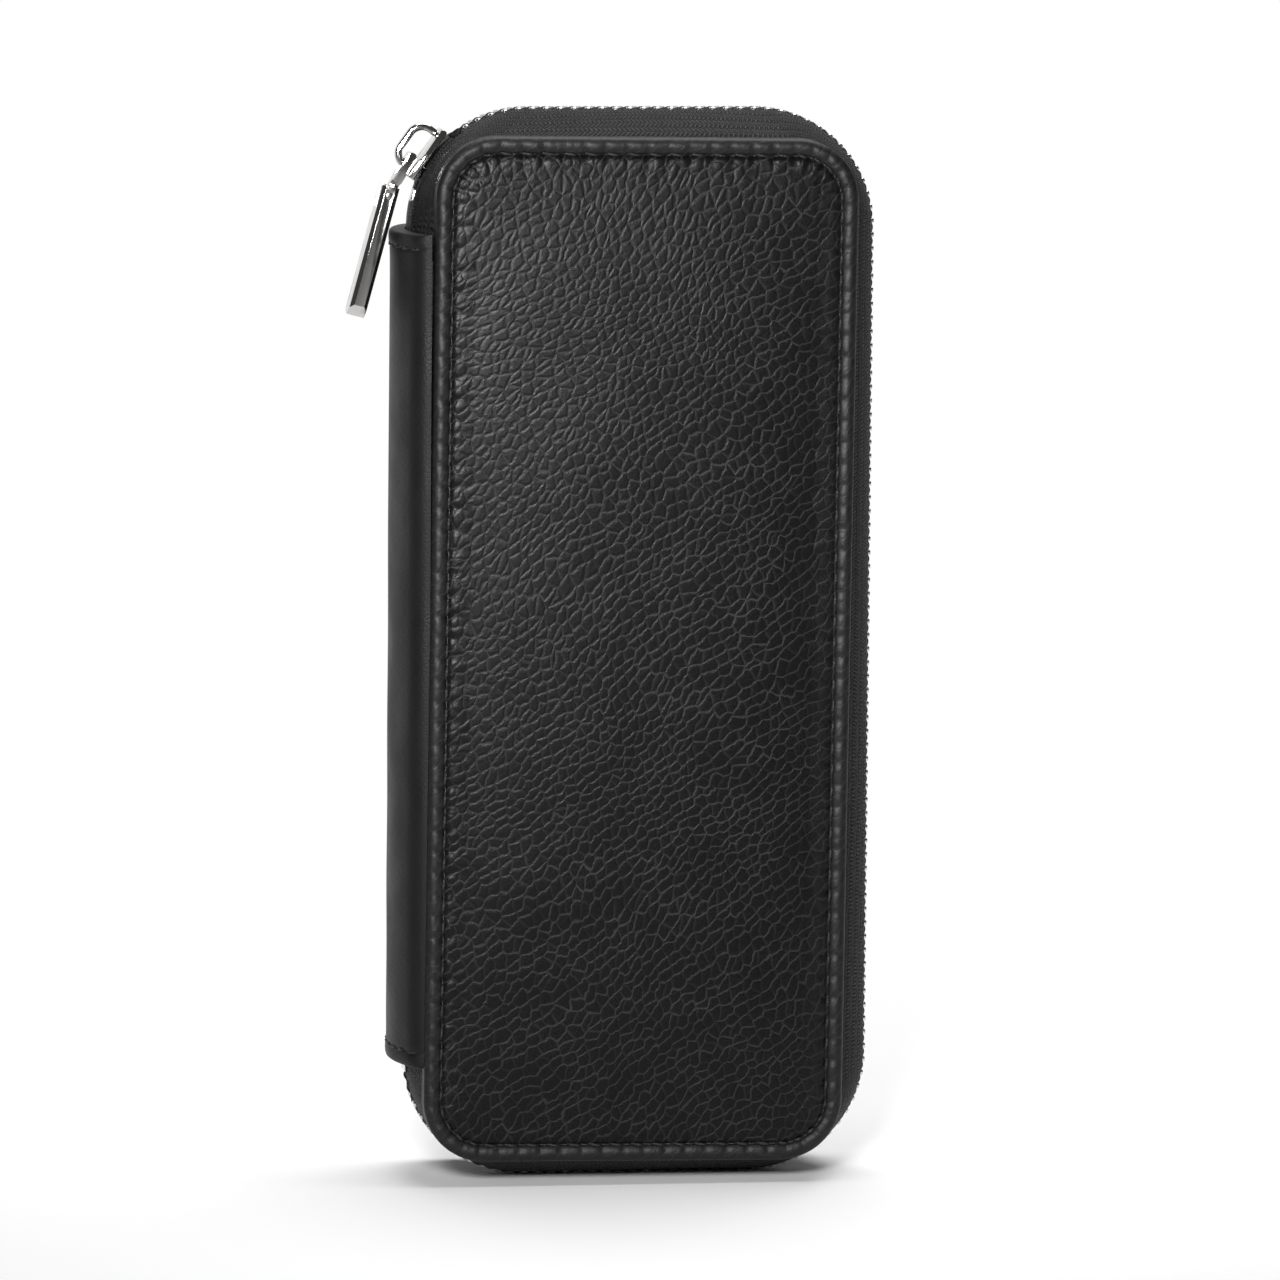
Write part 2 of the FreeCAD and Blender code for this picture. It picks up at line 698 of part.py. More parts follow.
def pen_loops(label, height):
    """A band sewn down between the pens, so that it makes a row of round-backed loops."""
    bores = []
    solids = []
    low = "sizes.base_height + sizes." + height
    wide = "%d * %s + sizes.loop_seam" % (LOOP_COUNT, LOOP_STEP)
    solids.append(primitive(
        "Box", label + "_base", Length=wide, Width="sizes.band_thickness", Height="sizes.band_width",
        x="-(%s) / 2" % wide, y=BACKING_FACE + " - sizes.band_thickness", z=low,
    ))
    for index in range(LOOP_COUNT):
        centre = "(%g * %s)" % (index - (LOOP_COUNT - 1) / 2, LOOP_STEP)
        for group, skin, reach, name in (
            (solids, "sizes.band_thickness", "0", "outer"),
            (bores, "0", "sizes.band_thickness", "inner"),
        ):
            half = "(sizes.loop_bore_width / 2 + %s)" % skin
            round_y = "%s - sizes.loop_bore_depth + sizes.loop_bore_width / 2" % BACKING_FACE
            bottom = "%s - (%s)" % (low, reach)
            tall = "sizes.band_width + 2 * (%s)" % reach
            group.append(primitive(
                "Cylinder", "%s_%s_round_%d" % (label, name, index), turn=180, Angle="180", Radius=half,
                Height=tall, x=centre, y=round_y, z=bottom,
            ))
            group.append(primitive(
                "Box", "%s_%s_side_%d" % (label, name, index), Length="2 * " + half, Height=tall,
                Width="sizes.loop_bore_depth - sizes.loop_bore_width / 2 + %s" % reach,
                x="%s - %s" % (centre, half), y=round_y, z=bottom,
            ))
    outside = combine("MultiFuse", label + "_outside", solids)
    inside = combine("MultiFuse", label + "_inside", bores)
    keep(combine("Cut", label, outside, inside), label)
    doc.recompute()


def pen_backing():
    """The leather patch on the rear lining that the loops are sewn to."""
    body = new_body("pen_backing")
    depth = COVER_DEPTH + " + sizes.lining_thickness"
    offset = layer_offset(REAR, depth, "sizes.backing_thickness")
    sketch = new_sketch(body, "pen_backing_outline", "XZ_Plane", offset)
    panel_outline(sketch, "edge", LINING_INSET + " + sizes.backing_margin")
    pad(body, sketch, "pen_backing_pad", "sizes.backing_thickness")


def slip_pocket():
    """A flat pocket on the front lining, open at its top edge, with a thumb notch."""
    body = new_body("slip_pocket")
    depth = COVER_DEPTH + " + sizes.lining_thickness"
    offset = layer_offset(FRONT, depth, "sizes.pocket_thickness")
    sketch = new_sketch(body, "slip_pocket_outline", "XZ_Plane", offset)
    inset = LINING_INSET + " + sizes.pocket_margin"
    low = "sizes.base_height + " + inset
    rounding = "sizes.panel_corner - (%s)" % inset
    rounded_outline(
        sketch, "edge", "sizes.panel_width / 2 - (%s)" % inset, low, low + " + sizes.pocket_height", rounding,
    )
    pad(body, sketch, "slip_pocket_pad", "sizes.pocket_thickness")
    notch = new_sketch(body, "slip_pocket_thumb", "XZ_Plane", offset)
    middle = vec(0, value_of(low + " + sizes.pocket_height"), 0)
    notch.addGeometry(Part.Circle(middle, vec(0, 0, 1), size("thumb_notch")), False)
    notch.addConstraint(Sketcher.Constraint("PointOnObject", 0, 3, -2))
    bind(notch, ("Radius", 0), "thumb", "sizes.thumb_notch")
    bind(notch, ("DistanceY", -1, 1, 0, 3), "height", low + " + sizes.pocket_height")
    pocket(body, notch, "slip_pocket_notch", "sizes.pocket_thickness", reverse=True)


def pen_flap():
    """A loose leather page over the pens, hinged along its spine edge."""
    body = new_body("pen_flap")
    depth = COVER_DEPTH + " + sizes.lining_thickness + sizes.pocket_thickness + sizes.flap_clearance"
    offset = layer_offset(FRONT, depth, "sizes.flap_thickness")
    sketch = new_sketch(body, "pen_flap_outline", "XZ_Plane", offset)
    inset = LINING_INSET + " + sizes.flap_margin"
    rounded_outline(
        sketch, "edge", "sizes.panel_width / 2 - (%s)" % inset, "sizes.base_height + " + inset,
        "sizes.base_height + sizes.panel_height - (%s)" % inset, "sizes.flap_corner",
    )
    pad(body, sketch, "pen_flap_pad", "sizes.flap_thickness")


# The slider and its pull are drawn as they would lie on the crown's top, with X towards the closed
# zip and Z outwards, and are then turned round the upper corner to where the slider rests.

plate_low = size("tooth_proud") + size("slider_clearance")
plate_high = plate_low + size("slider_plate")
PLATE_LOW = "(sizes.tooth_proud + sizes.slider_clearance)"
PLATE_HIGH = "(%s + sizes.slider_plate)" % PLATE_LOW
CAVITY_LOW = (
    "(-sizes.tape_thickness - sizes.tooth_proud - sizes.slider_clearance"
    " - sizes.slider_length ^ 2 / (8 * sizes.ridge_corner))"
)


def corner_placement(x, z, turn):
    """Carry a shape from the slider's drawing to its rest, with a turn of its own about (x, z)."""
    angle = size("slider_angle") - 90
    lift = FreeCAD.Placement(vec(0, 0, size("ridge_corner")), FreeCAD.Rotation())
    corner = FreeCAD.Placement(vec(corner_x, 0, corner_z), FreeCAD.Rotation(vec(0, 1, 0), angle))
    own = FreeCAD.Placement(vec(x, 0, z), FreeCAD.Rotation(vec(0, 1, 0), turn))
    return corner.multiply(lift).multiply(own)


def wedge_outline(sketch):
    """The slider's plan: narrow at the nose over the closed zip, wide at the mouth."""
    half = size("slider_length") / 2
    nose = size("slider_nose_width") / 2
    mouth = size("slider_mouth_width") / 2
    points = [
        vec(half, -nose, 0), vec(half, nose, 0), vec(0, mouth, 0),
        vec(-half, mouth, 0), vec(-half, -mouth, 0), vec(0, -mouth, 0),
    ]
    sides = [Part.LineSegment(points[index - 1], points[index]) for index in range(6)]
    sketch.addGeometry(sides, False)
    for index in range(6):
        sketch.addConstraint(Sketcher.Constraint("Coincident", index - 1 if index else 5, 2, index, 1))
    for index in (3, 5):
        sketch.addConstraint(Sketcher.Constraint("Horizontal", index))
    sketch.addConstraint(Sketcher.Constraint("Symmetric", 1, 1, 1, 2, -1))
    sketch.addConstraint(Sketcher.Constraint("Symmetric", 4, 1, 4, 2, -1))
    sketch.addConstraint(Sketcher.Constraint("PointOnObject", 3, 1, -2))
    sketch.addConstraint(Sketcher.Constraint("PointOnObject", 5, 2, -2))
    bind(sketch, ("DistanceX", -1, 1, 1, 1), "nose_end", "sizes.slider_length / 2")
    bind(sketch, ("DistanceX", 4, 1, -1, 1), "mouth_end", "sizes.slider_length / 2")
    bind(sketch, ("DistanceY", 1, 1, 1, 2), "nose_width", "sizes.slider_nose_width")
    bind(sketch, ("DistanceY", 4, 2, 4, 1), "mouth_width", "sizes.slider_mouth_width")


def rectangle(sketch, x_low, x_high, y_low, y_high):
    """A plain rectangle given by four expressions."""
    left, right, low, high = (value_of(item) for item in (x_low, x_high, y_low, y_high))
    points = [vec(left, low, 0), vec(right, low, 0), vec(right, high, 0), vec(left, high, 0)]
    sketch.addGeometry([Part.LineSegment(points[i], points[(i + 1) % 4]) for i in range(4)], False)
    for index in range(4):
        sketch.addConstraint(Sketcher.Constraint("Coincident", index, 2, (index + 1) % 4, 1))
        direction = "Vertical" if index % 2 else "Horizontal"
        sketch.addConstraint(Sketcher.Constraint(direction, index))
    bind(sketch, ("DistanceX", -1, 1, 0, 1), "x_low", x_low)
    bind(sketch, ("DistanceX", -1, 1, 0, 2), "x_high", x_high)
    bind(sketch, ("DistanceY", -1, 1, 0, 1), "y_low", y_low)
    bind(sketch, ("DistanceY", -1, 1, 2, 1), "y_high", y_high)


def slider_body():
    """Two wedge plates held apart by the post between the tape ends."""
    body = new_body("slider_body")
    top = new_sketch(body, "slider_top", "XY_Plane", PLATE_LOW)
    wedge_outline(top)
    pad(body, top, "slider_top_plate", "sizes.slider_plate")
    post = new_sketch(body, "slider_post", "XY_Plane", PLATE_LOW)
    back = "-sizes.slider_length / 2 + sizes.post_inset"
    rectangle(post, back, back + " + sizes.post_length", "-sizes.post_width / 2", "sizes.post_width / 2")
    pad(body, post, "slider_post_pad", "%s - %s" % (PLATE_LOW, CAVITY_LOW), reverse=True)
    bottom = new_sketch(body, "slider_bottom", "XY_Plane", CAVITY_LOW)
    wedge_outline(bottom)
    pad(body, bottom, "slider_bottom_plate", "sizes.slider_plate", reverse=True)
    body.Placement = corner_placement(0, 0, 0)


def slider_bail():
    """The arched loop on the slider's top plate that the pull hangs from."""
    body = new_body("slider_bail")
    arch = new_sketch(body, "bail_arch", "XZ_Plane", "0")
    half = "sizes.bail_length / 2"
    outer_top = "%s + sizes.bail_height" % PLATE_HIGH
    outer_low = "%s - sizes.bail_height" % PLATE_HIGH
    rounded_outline(arch, "outer", half, outer_low, outer_top, "sizes.bail_corner")
    rounded_outline(
        arch, "inner", half + " - sizes.bail_band", outer_low + " + sizes.bail_band",
        outer_top + " - sizes.bail_band", "sizes.bail_corner - sizes.bail_band",
    )
    pad(body, arch, "bail_band_pad", "sizes.bail_width", middle=True)
    below = new_sketch(body, "bail_below", "XZ_Plane", "0")
    reach = "sizes.bail_length"
    rectangle(below, "-" + reach, reach, "%s - 2 * sizes.bail_height" % PLATE_HIGH, PLATE_HIGH)
    pocket(body, below, "bail_foot_cut", "2 * sizes.bail_width", middle=True)
    body.Placement = corner_placement(0, 0, 0)


# The link's bar rests in the back of the arch, just clear of the plate.
pivot_x = -size("bail_length") / 2 + size("bail_band") + size("link_clearance") + size("link_thickness") / 2
pivot_z = plate_high + size("link_clearance") + size("link_thickness") / 2


def bar_outline(sketch, back, front, radius):
    """A bar along X with round ends, given by the places of its end centres and its radius."""
    x_back = value_of(back)
    x_front = value_of(front)
    bar = value_of(radius)
    ends = [
        Part.ArcOfCircle(Part.Circle(vec(x_front, 0, 0), vec(0, 0, 1), bar), -math.pi / 2, math.pi / 2),
        Part.ArcOfCircle(Part.Circle(vec(x_back, 0, 0), vec(0, 0, 1), bar), math.pi / 2, 3 * math.pi / 2),
    ]
    sides = [
        Part.LineSegment(ends[0].EndPoint, ends[1].StartPoint),
        Part.LineSegment(ends[1].EndPoint, ends[0].StartPoint),
    ]
    sketch.addGeometry(ends + sides, False)
    for end, side, after in ((0, 2, 3), (1, 3, 2)):
        sketch.addConstraint(Sketcher.Constraint("Tangent", end, 2, side, 1))
        sketch.addConstraint(Sketcher.Constraint("Tangent", after, 2, end, 1))
        sketch.addConstraint(Sketcher.Constraint("PointOnObject", end, 3, -1))
    bind(sketch, ("Radius", 0), "radius", radius)
    bind(sketch, ("DistanceX", -1, 1, 0, 3), "front_centre", front)
    bind(sketch, ("DistanceX", -1, 1, 1, 3), "back_centre", back)


def pull_link():
    """A stirrup whose bar lies in the bail and whose narrow eye takes the tab's pin."""
    body = new_body("pull_link")
    profile = new_sketch(body, "link_profile", "XZ_Plane", "0")
    bar_outline(profile, "-sizes.link_length", "0", "sizes.link_thickness / 2")
    pad(body, profile, "link_bar", "sizes.link_width", middle=True)
    window = new_sketch(body, "link_window_outline", "XY_Plane", "0")
    front = "-sizes.link_thickness / 2"
    half_gap = "(sizes.link_width / 2 - sizes.link_arm)"
    rectangle(window, front + " - sizes.link_window", front, "-" + half_gap, half_gap)
    pocket(body, window, "link_window_cut", "2 * sizes.link_thickness", middle=True)
    for name, low, high in (
        ("near", "-sizes.link_width", "-sizes.link_neck / 2"),
        ("far", "sizes.link_neck / 2", "sizes.link_width"),
    ):
        shoulder = new_sketch(body, "link_%s_shoulder" % name, "XY_Plane", "0")
        neck = "-sizes.link_length - sizes.link_thickness / 2"
        rectangle(shoulder, neck + " - sizes.link_thickness", neck + " + sizes.link_neck_length", low, high)
        pocket(body, shoulder, "link_%s_cut" % name, "2 * sizes.link_thickness", middle=True)
    eye = new_sketch(body, "link_eye", "XZ_Plane", "0")
    eye.addGeometry(Part.Circle(vec(-size("link_length"), 0, 0), vec(0, 0, 1), size("pin_size") / 2), False)
    eye.addConstraint(Sketcher.Constraint("PointOnObject", 0, 3, -1))
    bind(eye, ("Radius", 0), "eye", "sizes.pin_size / 2 + sizes.pin_clearance")
    bind(eye, ("DistanceX", 0, 3, -1, 1), "reach", "sizes.link_length")
    pocket(body, eye, "link_eye_cut", "2 * sizes.link_width", middle=True)
    body.Placement = corner_placement(pivot_x, pivot_z, -size("link_droop"))


def pin_place():
    """Where the tab's pin is, in the case's frame."""
    link = corner_placement(pivot_x, pivot_z, -size("link_droop"))
    return link.multVec(vec(-size("link_length"), 0, 0))


def pull_tab():
    """A facetted bar that hangs from its forked head, with a bevelled tip."""
    body = new_body("pull_tab")
    profile = new_sketch(body, "tab_profile", "XZ_Plane", "0")
    half = "sizes.tab_thickness / 2"
    rectangle(profile, "-" + half, half, "-sizes.tab_length", "sizes.tab_head")
    bar = pad(body, profile, "tab_bar", "sizes.tab_width", middle=True)
    bevel = body.newObject("PartDesign::Chamfer", "tab_tip")
    bevel.Base = (bar, tip_edges(bar.Shape))
    bevel.setExpression("Size", "min(sizes.tab_tip_bevel; sizes.tab_width * %g)" % TIP_SHARE)
    doc.recompute()
    facet = body.newObject("PartDesign::Chamfer", "tab_facets")
    facet.Base = (bevel, long_edges(bevel.Shape))
    facet.setExpression("Size", "min(sizes.tab_chamfer; sizes.tab_thickness * %g)" % FACET_SHARE)
    doc.recompute()
    slot = new_sketch(body, "tab_fork", "YZ_Plane", "0")
    gap = "(sizes.link_neck / 2 + sizes.fork_clearance)"
    rectangle(slot, "-" + gap, gap, "-sizes.fork_depth", "2 * sizes.tab_head")
    pocket(body, slot, "tab_fork_cut", "2 * sizes.tab_thickness", middle=True)
    hole = new_sketch(body, "tab_hole", "XZ_Plane", "0")
    hole.addGeometry(Part.Circle(vec(0, 0, 0), vec(0, 0, 1), size("pin_size") / 2), False)
    hole.addConstraint(Sketcher.Constraint("Coincident", 0, 3, -1, 1))
    bind(hole, ("Radius", 0), "hole", "sizes.pin_size / 2")
    pocket(body, hole, "tab_hole_cut", "2 * sizes.tab_width", middle=True)
    body.Placement = FreeCAD.Placement(pin_place(), FreeCAD.Rotation(vec(0, 1, 0), size("tab_tilt")))


def tip_edges(shape):
    """The two edges across the thickness at the bar's lower end."""
    low = shape.BoundBox.ZMin
    names = []
    for index, edge in enumerate(shape.Edges, start=1):
        box = edge.BoundBox
        if abs(box.ZMax - low) < 1e-6 and box.YLength < 1e-6:
            names.append("Edge%d" % index)
    return names


def long_edges(shape):
    """The four upright edges of the bar."""
    names = []
    for index, edge in enumerate(shape.Edges, start=1):
        box = edge.BoundBox
        if box.XLength < 1e-6 and box.YLength < 1e-6:
            names.append("Edge%d" % index)
    return names


def pull_pin():
    """The pin through the tab's fork and the link's eye."""
    pin = primitive("Cylinder", "pull_pin", Radius="sizes.pin_size / 2", Height="sizes.tab_width")
    start = pin_place() + vec(0, size("tab_width") / 2, 0)
    pin.Placement = FreeCAD.Placement(start, FreeCAD.Rotation(vec(1, 0, 0), 90))
    keep(pin, "pull_pin")
    doc.recompute()


def build():
    for side in (REAR, FRONT):
        leather_cover(side)
        panel_layers(side)
        zip_tape(side)
        zip_teeth(side)
        panel_stitching(side)
    spine()
    zip_tail()
    pen_backing()
    pen_loops("upper_pen_loops", "upper_band_height")
    pen_loops("lower_pen_loops", "lower_band_height")
    slip_pocket()
    pen_flap()
    slider_body()
    slider_bail()
    pull_link()
    pull_tab()
    pull_pin()


def check_and_write():
    """Stop on any failed object or bad shape, then write one file for each sub-part."""
    doc.recompute()
    for item in doc.Objects:
        if "Invalid" in item.State or "Error" in item.State:
            raise ValueError("%s failed: %s" % (item.Name, item.State))
    for item in pieces:
        if item.Shape.isNull() or not item.Shape.isValid() or item.Shape.Volume <= 0:
            raise ValueError("%s has no valid shape" % item.Label)
    os.makedirs("parts", exist_ok=True)
    for item in pieces:
        item.Shape.exportStep("parts/%s.step" % item.Label)
        box = item.Shape.BoundBox
        print("%-20s solids %3d volume %9.2f x %.2f..%.2f y %.2f..%.2f z %.2f..%.2f" % (
            item.Label, len(item.Shape.Solids), item.Shape.Volume,
            box.XMin, box.XMax, box.YMin, box.YMax, box.ZMin, box.ZMax))
    print("spine fold at x %.3f y %.3f" % (fold_x, fold_y))
    print("slider turns about x %.3f z %.3f" % (corner_x, corner_z))
    pivot = corner_placement(pivot_x, pivot_z, 0).multVec(vec(0, 0, 0))
    print("link turns about x %.3f z %.3f" % (pivot.x, pivot.z))
    pin = pin_place()
    print("tab turns about x %.3f z %.3f" % (pin.x, pin.z))


build()
check_and_write()
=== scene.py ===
"""Looks of a zip-round leather pen case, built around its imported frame."""

import json
import math

import bmesh
import bpy
import numpy as np
from bpy.props import FloatProperty, FloatVectorProperty, IntProperty, PointerProperty
from mathutils import Matrix, Vector, noise


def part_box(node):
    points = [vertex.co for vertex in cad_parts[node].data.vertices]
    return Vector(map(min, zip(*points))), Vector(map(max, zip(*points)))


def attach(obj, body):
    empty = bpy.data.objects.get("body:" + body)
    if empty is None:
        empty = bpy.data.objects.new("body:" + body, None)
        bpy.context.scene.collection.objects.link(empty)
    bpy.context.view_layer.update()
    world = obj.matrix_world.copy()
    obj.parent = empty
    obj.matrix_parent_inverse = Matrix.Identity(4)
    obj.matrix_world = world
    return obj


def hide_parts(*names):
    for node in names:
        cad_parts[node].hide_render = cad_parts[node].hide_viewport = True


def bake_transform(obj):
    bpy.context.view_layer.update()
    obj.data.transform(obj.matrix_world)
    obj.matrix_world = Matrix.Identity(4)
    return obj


bl_info = {
    "name": "Leather Pen Case",
    "version": (1, 0, 0),
    "blender": (4, 5, 0),
    "location": "View3D > Sidebar > Pen Case",
    "description": "Dresses a zip-round pen case in grained leather, woven tape and polished metal",
    "category": "Add Mesh",
}

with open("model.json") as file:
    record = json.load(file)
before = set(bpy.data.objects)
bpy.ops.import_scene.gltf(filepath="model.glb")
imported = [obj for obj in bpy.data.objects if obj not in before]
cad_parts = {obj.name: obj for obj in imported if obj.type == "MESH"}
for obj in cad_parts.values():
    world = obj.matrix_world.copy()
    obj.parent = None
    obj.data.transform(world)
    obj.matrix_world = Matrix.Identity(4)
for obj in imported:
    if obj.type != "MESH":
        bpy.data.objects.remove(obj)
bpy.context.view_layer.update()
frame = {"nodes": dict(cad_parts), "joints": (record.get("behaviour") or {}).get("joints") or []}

MM = 0.001
FRONT = -1
REAR = 1
SIDE_NAMES = {FRONT: "front", REAR: "rear"}
SIDE_BODIES = {FRONT: "front_half", REAR: "rear_half"}
JOINTS = {joint["name"]: joint for joint in frame["joints"]}

# Places that the frame gives
PANEL_LOW, PANEL_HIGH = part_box("front_leather")
TAPE_LOW, TAPE_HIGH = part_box("front_zip_tape")
SPINE_LOW, SPINE_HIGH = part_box("spine_leather")
LINING_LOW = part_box("rear_lining")[0]
BACKING_LOW, BACKING_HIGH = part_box("pen_backing")
POCKET_LOW, POCKET_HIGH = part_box("slip_pocket")
FLAP_LOW, FLAP_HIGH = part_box("pen_flap")
FACE_Y = -PANEL_LOW.y
SKIRT_Y = -PANEL_HIGH.y
PANEL_MIDDLE = (PANEL_LOW.z + PANEL_HIGH.z) / 2
FOLD = Vector((JOINTS["spine_fold"]["pos_m"][0], JOINTS["spine_fold"]["pos_m"][1]))


def length(name, text, millimetres):
    """A length property whose default is given in millimetres."""
    return FloatProperty(name=name, description=text, default=millimetres * MM, unit="LENGTH", precision=5)


def colour(name, text, value):
    return FloatVectorProperty(name=name, description=text, default=value, subtype="COLOR", min=0.0, max=1.0)


def angle(name, text, degrees):
    return FloatProperty(name=name, description=text, default=math.radians(degrees), subtype="ANGLE")


class PenCaseLeather(bpy.types.PropertyGroup):
    """Sizes and colours of the leather covers and the spine"""

    grain_colour: colour("Grained Leather", "Colour of the covers", (0.0025, 0.0025, 0.0026))
    # The creases are coloured lighter than the grain: a painted highlight standing in for light caught on the
    # crease walls
    painted_crease_highlight: colour("Creases", "Colour of the dull creases in the grain", (0.024, 0.024, 0.023))
    smooth_colour: colour("Smooth Leather", "Colour of the spine and inner leather", (0.006, 0.006, 0.0062))
    corner: length("Panel Corner", "Radius of a cover's corners", 10.0)
    crown: length("Crown", "How far the wadding lifts a cover's middle", 1.1)
    stitch_inset: length("Stitch Inset", "From a cover's edge to its stitches", 2.7)
    stitch_pitch: length("Stitch Pitch", "From one stitch hole to the next", 3.3)
    thread_radius: length("Thread Radius", "Half the thickness of the thread", 0.27)
    pucker: length("Pucker", "How deep a stitch draws the leather in", 0.42)
    front_lean: angle("Front Lean", "How far the front cover sits askew on the soft tape", 0.5)
    spine_thickness: length("Spine Thickness", "Leather, board and lining of the spine together", 2.4)
    spine_skin: length("Spine Skin", "Thickness of the spine's leather", 1.0)
    hem: length("Hem", "From the spine's end to its hem stitches", 2.4)


class PenCaseZip(bpy.types.PropertyGroup):
    """Sizes and colours of the zip"""

    tape_colour: colour("Tape", "Colour of the woven tape", (0.006, 0.006, 0.0064))
    tooth_colour: colour("Teeth", "Colour of the teeth", (0.62, 0.61, 0.6))
    ridge_corner: length("Ridge Corner", "Radius of the zip's path at the corners", 19.0)
    ridge_low: length("Ridge Low", "Height of the tape above the table along the base", 0.35)
    tape_thickness: length("Tape Thickness", "Thickness of the woven tape", 0.8)
    tape_inset: length("Tape Inset", "How far the tape starts inside a cover's edge", 0.5)
    crown_half: length("Crown Half", "Half the width of the strip that carries the teeth", 1.9)
    tuck: length("Tuck", "How far the tape runs in under the spine's ends", 4.0)
    notch_half: length("Notch Half", "Half the width of the gap round the slider's tail", 3.65)
    notch_angle: angle("Notch Angle", "Where that gap ends, round the upper corner from the spine", 53.2)
    pitch: length("Tooth Pitch", "From one tooth to the next in a row", 2.24)


class PenCaseMetal(bpy.types.PropertyGroup):
    """Finish of the slider and its pull"""

    nickel_colour: colour("Nickel", "Colour of the plating", (0.55, 0.54, 0.53))
    edge_round: length("Edge Round", "Radius of the polished edges", 0.22)


class PenCaseInside(bpy.types.PropertyGroup):
    """Sizes and colours of the lining, the loops, the pocket and the page"""

    lining_colour: colour("Lining", "Colour of the lining cloth", (0.03, 0.03, 0.033))
    elastic_colour: colour("Elastic", "Colour of the pen loops", (0.022, 0.022, 0.024))
    board_colour: colour("Board", "Colour of the stiffening board", (0.36, 0.31, 0.24))
    loop_count: IntProperty(name="Pen Loops", description="Loops in each band", default=3, min=1)
    loop_bore: length("Loop Bore", "Width inside a loop", 14.0)
    loop_seam: length("Loop Seam", "Width sewn down between two loops", 3.0)
    band_thickness: length("Band Thickness", "Thickness of the elastic", 0.8)
    page_corner: length("Page Corner", "Radius of the loose page's corners", 6.0)
    thumb_notch: length("Thumb Notch", "Radius of the notch in the pocket's edge", 9.0)
    edge_stitch: length("Edge Stitch", "From a leather edge inside to its stitches", 1.8)


class PenCaseStage(bpy.types.PropertyGroup):
    """Camera, lamps and floor"""

    floor_colour: colour("Floor", "Colour of the floor", (0.92, 0.92, 0.92))
    azimuth: angle("Azimuth", "How far the camera stands round from the front", -8.0)
    elevation: angle("Elevation", "How far the camera stands above the table", 6.8)
    roll: angle("Roll", "How far the camera is turned about its own axis", 0.45)
    distance: length("Distance", "From the camera to the case", 1500.0)
    picture_width: length("Picture Width", "What the picture spans at the case", 204.8)
    aim_right: length("Aim Right", "How far right of the front cover's middle the camera aims", -0.26)
    aim_up: length("Aim Up", "How far above the front cover's middle the camera aims", 2.1)


# Outlines in the plane of the covers, clockwise as seen from the front, so that outwards is to the left


def straight(start, finish):
    """A straight stretch: its length, and a function from a share of it to a point and its outward normal."""
    start = Vector(start)
    along = Vector(finish) - start
    outward = Vector((-along.y, along.x)).normalized()
    return along.length, lambda share: (start + along * share, outward)


def bend(centre, radius, start, finish):
    """A round stretch between two angles in degrees: falling angles bulge out and rising ones hollow in."""
    turn = math.radians(finish - start)
    way = 1 if turn < 0 else -1

    def place(share):
        ray_angle = math.radians(start) + turn * share
        ray = Vector((math.cos(ray_angle), math.sin(ray_angle)))
        return Vector(centre) + ray * radius, ray * way

    return radius * abs(turn), place


def total_length(stretches):
    return sum(stretch[0] for stretch in stretches)


def at_distance(stretches, distance):
    """The point and outward normal at a distance along joined stretches."""
    for span, place in stretches:
        if distance <= span:
            return place(distance / span)
        distance -= span
    return stretches[-1][1](1.0)


def spaced(stretches, count):
    """Evenly spaced points and normals along joined stretches, without the last end."""
    step = total_length(stretches) / count
    return [at_distance(stretches, index * step) for index in range(count)]


def arc_points(centre, radius, start, finish, steps):
    """Points round an arc between two angles in degrees."""
    place = bend(centre, radius, start, finish)[1]
    return [place(step / steps)[0] for step in range(steps + 1)]


def rounded_sides(low, high, radius):
    """The left, upper, right and lower side of a round-cornered box, each from mid corner to mid corner."""
    centres = [
        Vector((low.x + radius, low.z + radius)),
        Vector((low.x + radius, high.z - radius)),
        Vector((high.x - radius, high.z - radius)),
        Vector((high.x - radius, low.z + radius)),
    ]
    sides = []
    for index, first in enumerate(centres):
        last = centres[(index + 1) % 4]
        start = 225 - 90 * index
        ray_angle = math.radians(start - 45)
        ray = Vector((math.cos(ray_angle), math.sin(ray_angle))) * radius
        sides.append([
            bend(first, radius, start, start - 45),
            straight(first + ray, last + ray),
            bend(last, radius, start - 45, start - 90),
        ])
    return sides


def ridge_path(left, right, low, high, radius, start, finish):
    """An outline that is open at the spine, from its upper end round to its lower end."""
    return [
        straight((left, start), (left, high - radius)),
        bend((left + radius, high - radius), radius, 180, 90),
        straight((left + radius, high), (right - radius, high)),
        bend((right - radius, high - radius), radius, 90, 0),
        straight((right, high - radius), (right, low + radius)),
        bend((right - radius, low + radius), radius, 0, -90),
        straight((right - radius, low), (left + radius, low)),
        bend((left + radius, low + radius), radius, -90, -180),
        straight((left, low + radius), (left, finish)),
    ]


# Meshes


def smooth_step(low, high, value):
    """From 0 at low to 1 at high, with a soft start and end."""
    share = min(max((value - low) / (high - low), 0.0), 1.0)
    return share * share * (3 - 2 * share)


def placed(name, mesh, slot, body=None, replaces=()):
    """A piece with the slot's finish, riding on a body and standing for the nodes it replaces."""
    mesh.materials.clear()
    mesh.materials.append(finish(slot))
    piece = bpy.data.objects.new(name, mesh)
    bpy.context.scene.collection.objects.link(piece)
    if replaces:
        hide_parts(*replaces)
    if body:
        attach(piece, body)
    return piece


